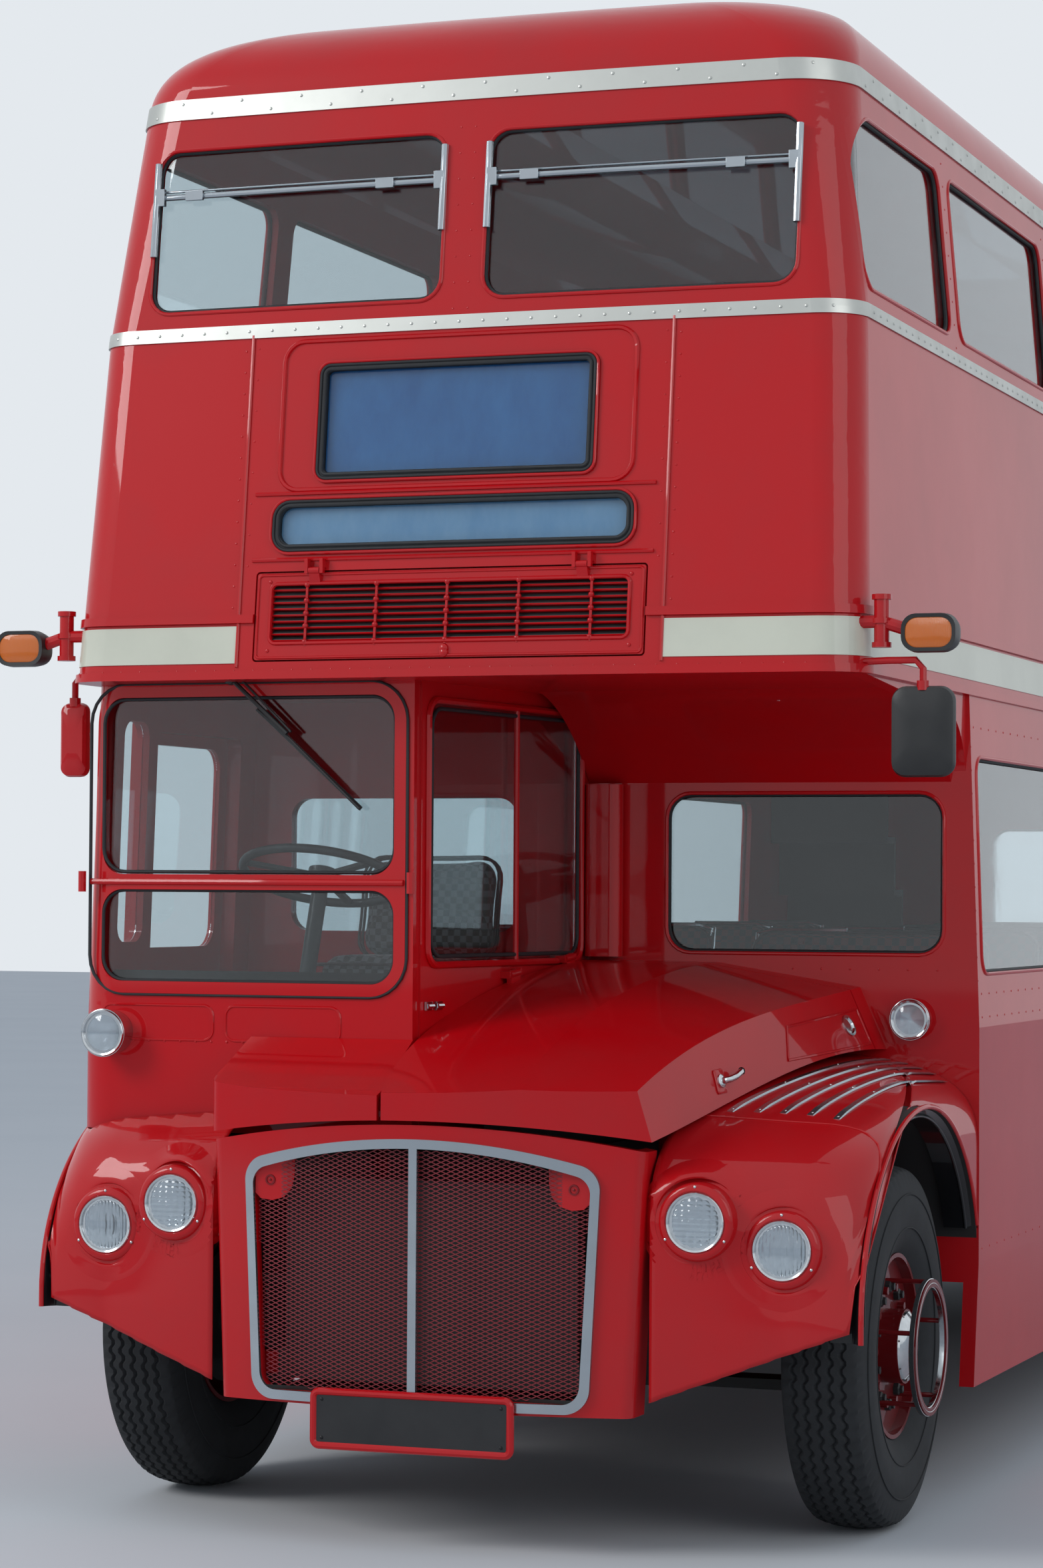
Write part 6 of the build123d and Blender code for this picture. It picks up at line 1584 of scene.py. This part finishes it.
def makeSeats(rows, s):
    pads = {upperDeck: bmesh.new(), lowerDeck: bmesh.new()}
    piping, frames, rails = bmesh.new(), bmesh.new(), bmesh.new()
    flat = Matrix.Rotation(-s["tilt"], 3, "X")
    lean = Matrix.Rotation(s["lean"], 3, "X")
    for d, side, floor, base in rows:
        x = side * s["middle"]
        for back, lift, deep, thick, turn, corner in ((208, 0.172, s["deep"], s["thick"], flat, 0.055),
                                                      (464, 0.497, s["tall"], s["back"], lean, 0.07)):
            centre = Vector((x, alongBus(d + back), base + lift))
            addPad(pads[floor], centre, s["wide"], deep, thick, turn, corner, 0.02)
            addPiping(piping, centre, s["wide"] * 0.985, deep * 0.985, thick * 0.26, turn, corner, 0.02)
        addBox(frames, (x, alongBus(d + 208), base + 0.118), (0.70, 0.36, 0.018))
        for shift in (-0.11, 0.11):
            onBox = 0.95 < base < 1.5 and abs(x + shift) > 0.6
            foot = 1.094 if onBox else floor + 0.004
            top = base + 0.108
            addTube(frames, [(x + shift, alongBus(d + back), z)
                             for back, z in ((135, foot), (150, top), (360, top), (372, foot))], 0.013, 8)
        rail = ((0, 455, 0.62), (0, 512, 0.70), (0, 528, 0.765), (0.05, 520, 0.778), (0.30, 520, 0.778))
        addTube(rails, [(side * (0.305 + out), alongBus(d + back), base + rise) for out, back, rise in rail], 0.010, 8)
    upper = fromMesh("upper_seat_pads", pads[upperDeck], moquette, "body")
    lower = fromMesh("lower_seat_pads", pads[lowerDeck], moquette, "body")
    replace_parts(upper, "saloon_seats")
    fromMesh("seat_piping", piping, seatLeather, "body")
    fromMesh("seat_frames", frames, blackStove, "body", smooth=False)
    fromMesh("seat_grab_rails", rails, chrome, "body")


makeSeats(seatRows, seatShape)


def swellPad(piece, cap=0.016, voxel=0.008, lastFrame=20):
    # cloth blown up a little inside its seams, then fixed as a plain mesh
    bpy.context.view_layer.objects.active = piece
    remesh = piece.modifiers.new("remesh", "REMESH")
    remesh.mode = "VOXEL"
    remesh.voxel_size = voxel
    graph = bpy.context.evaluated_depsgraph_get()
    even = bpy.data.meshes.new_from_object(piece.evaluated_get(graph))
    piece.modifiers.clear()
    piece.data = even
    rest = [v.co.copy() for v in even.vertices]
    cloth = piece.modifiers.new("cloth", "CLOTH")
    cloth.settings.quality = 5
    cloth.settings.use_pressure = True
    cloth.settings.uniform_pressure_force = 4.0
    cloth.settings.effector_weights.gravity = 0.0
    cloth.point_cache.frame_start, cloth.point_cache.frame_end = 1, lastFrame
    for step in range(1, lastFrame + 1):
        bpy.context.scene.frame_set(step)
    graph = bpy.context.evaluated_depsgraph_get()
    blown = [v.co.copy() for v in piece.evaluated_get(graph).data.vertices]
    piece.modifiers.clear()
    bpy.context.scene.frame_set(1)
    for v, start, end in zip(even.vertices, rest, blown):
        move = end - start
        v.co = start + move * min(1.0, cap / max(move.length, 1e-6))
    even.materials.clear()
    even.materials.append(driverCloth)
    even.shade_smooth()
    soft = piece.modifiers.new("softer", "SUBSURF")
    soft.levels = soft.render_levels = 1


# Driver's seat: columns name, distance, height, width, depth, thickness, turn about X in degrees
driverPads = [("driver_cushion", 1188, 1.542, 0.476, 0.372, 0.078, -3.0),
              ("driver_backrest", 1405, 1.742, 0.456, 0.330, 0.056, 79.0)]
driverX = -0.5


def makeDriverSeat(rows):
    piping, frame = bmesh.new(), bmesh.new()
    for name, d, z, wide, deep, thick, turn in rows:
        spin = Matrix.Rotation(math.radians(turn), 3, "X")
        centre = (driverX, alongBus(d), z)
        bm = bmesh.new()
        addPad(bm, centre, wide, deep, thick, spin, 0.075, 0.035)
        pad = fromMesh(name, bm, driverCloth, "body")
        swellPad(pad)
        if name == "driver_cushion":
            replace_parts(pad, "driver_seat")
        for lift in (-0.18, 0.30):
            addPiping(piping, centre, wide * 1.004, deep * 1.004, thick * lift, spin, 0.075, 0.035, 0.005)
    addBox(frame, (driverX, alongBus(1190), 1.4925), (0.40, 0.32, 0.018))
    for top, radius, sides in ((1.490, 0.05, 20), (1.166, 0.13, 24)):
        addTube(frame, [(driverX, alongBus(1200), z) for z in (1.152, top)], radius, sides)
    for side in (-1, 1):
        addTube(frame, [(driverX + side * 0.17, alongBus(d), z)
                        for d, z in ((1300, 1.492), (1420, 1.500), (1452, 1.60), (1458, 1.78))], 0.011, 8)
    fromMesh("driver_seat_piping", piping, seatLeather, "body")
    fromMesh("driver_seat_frame", frame, blackStove, "body")


makeDriverSeat(driverPads)
print("seats")

bpy.context.scene.view_settings.view_transform = "Standard"
low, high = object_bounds()
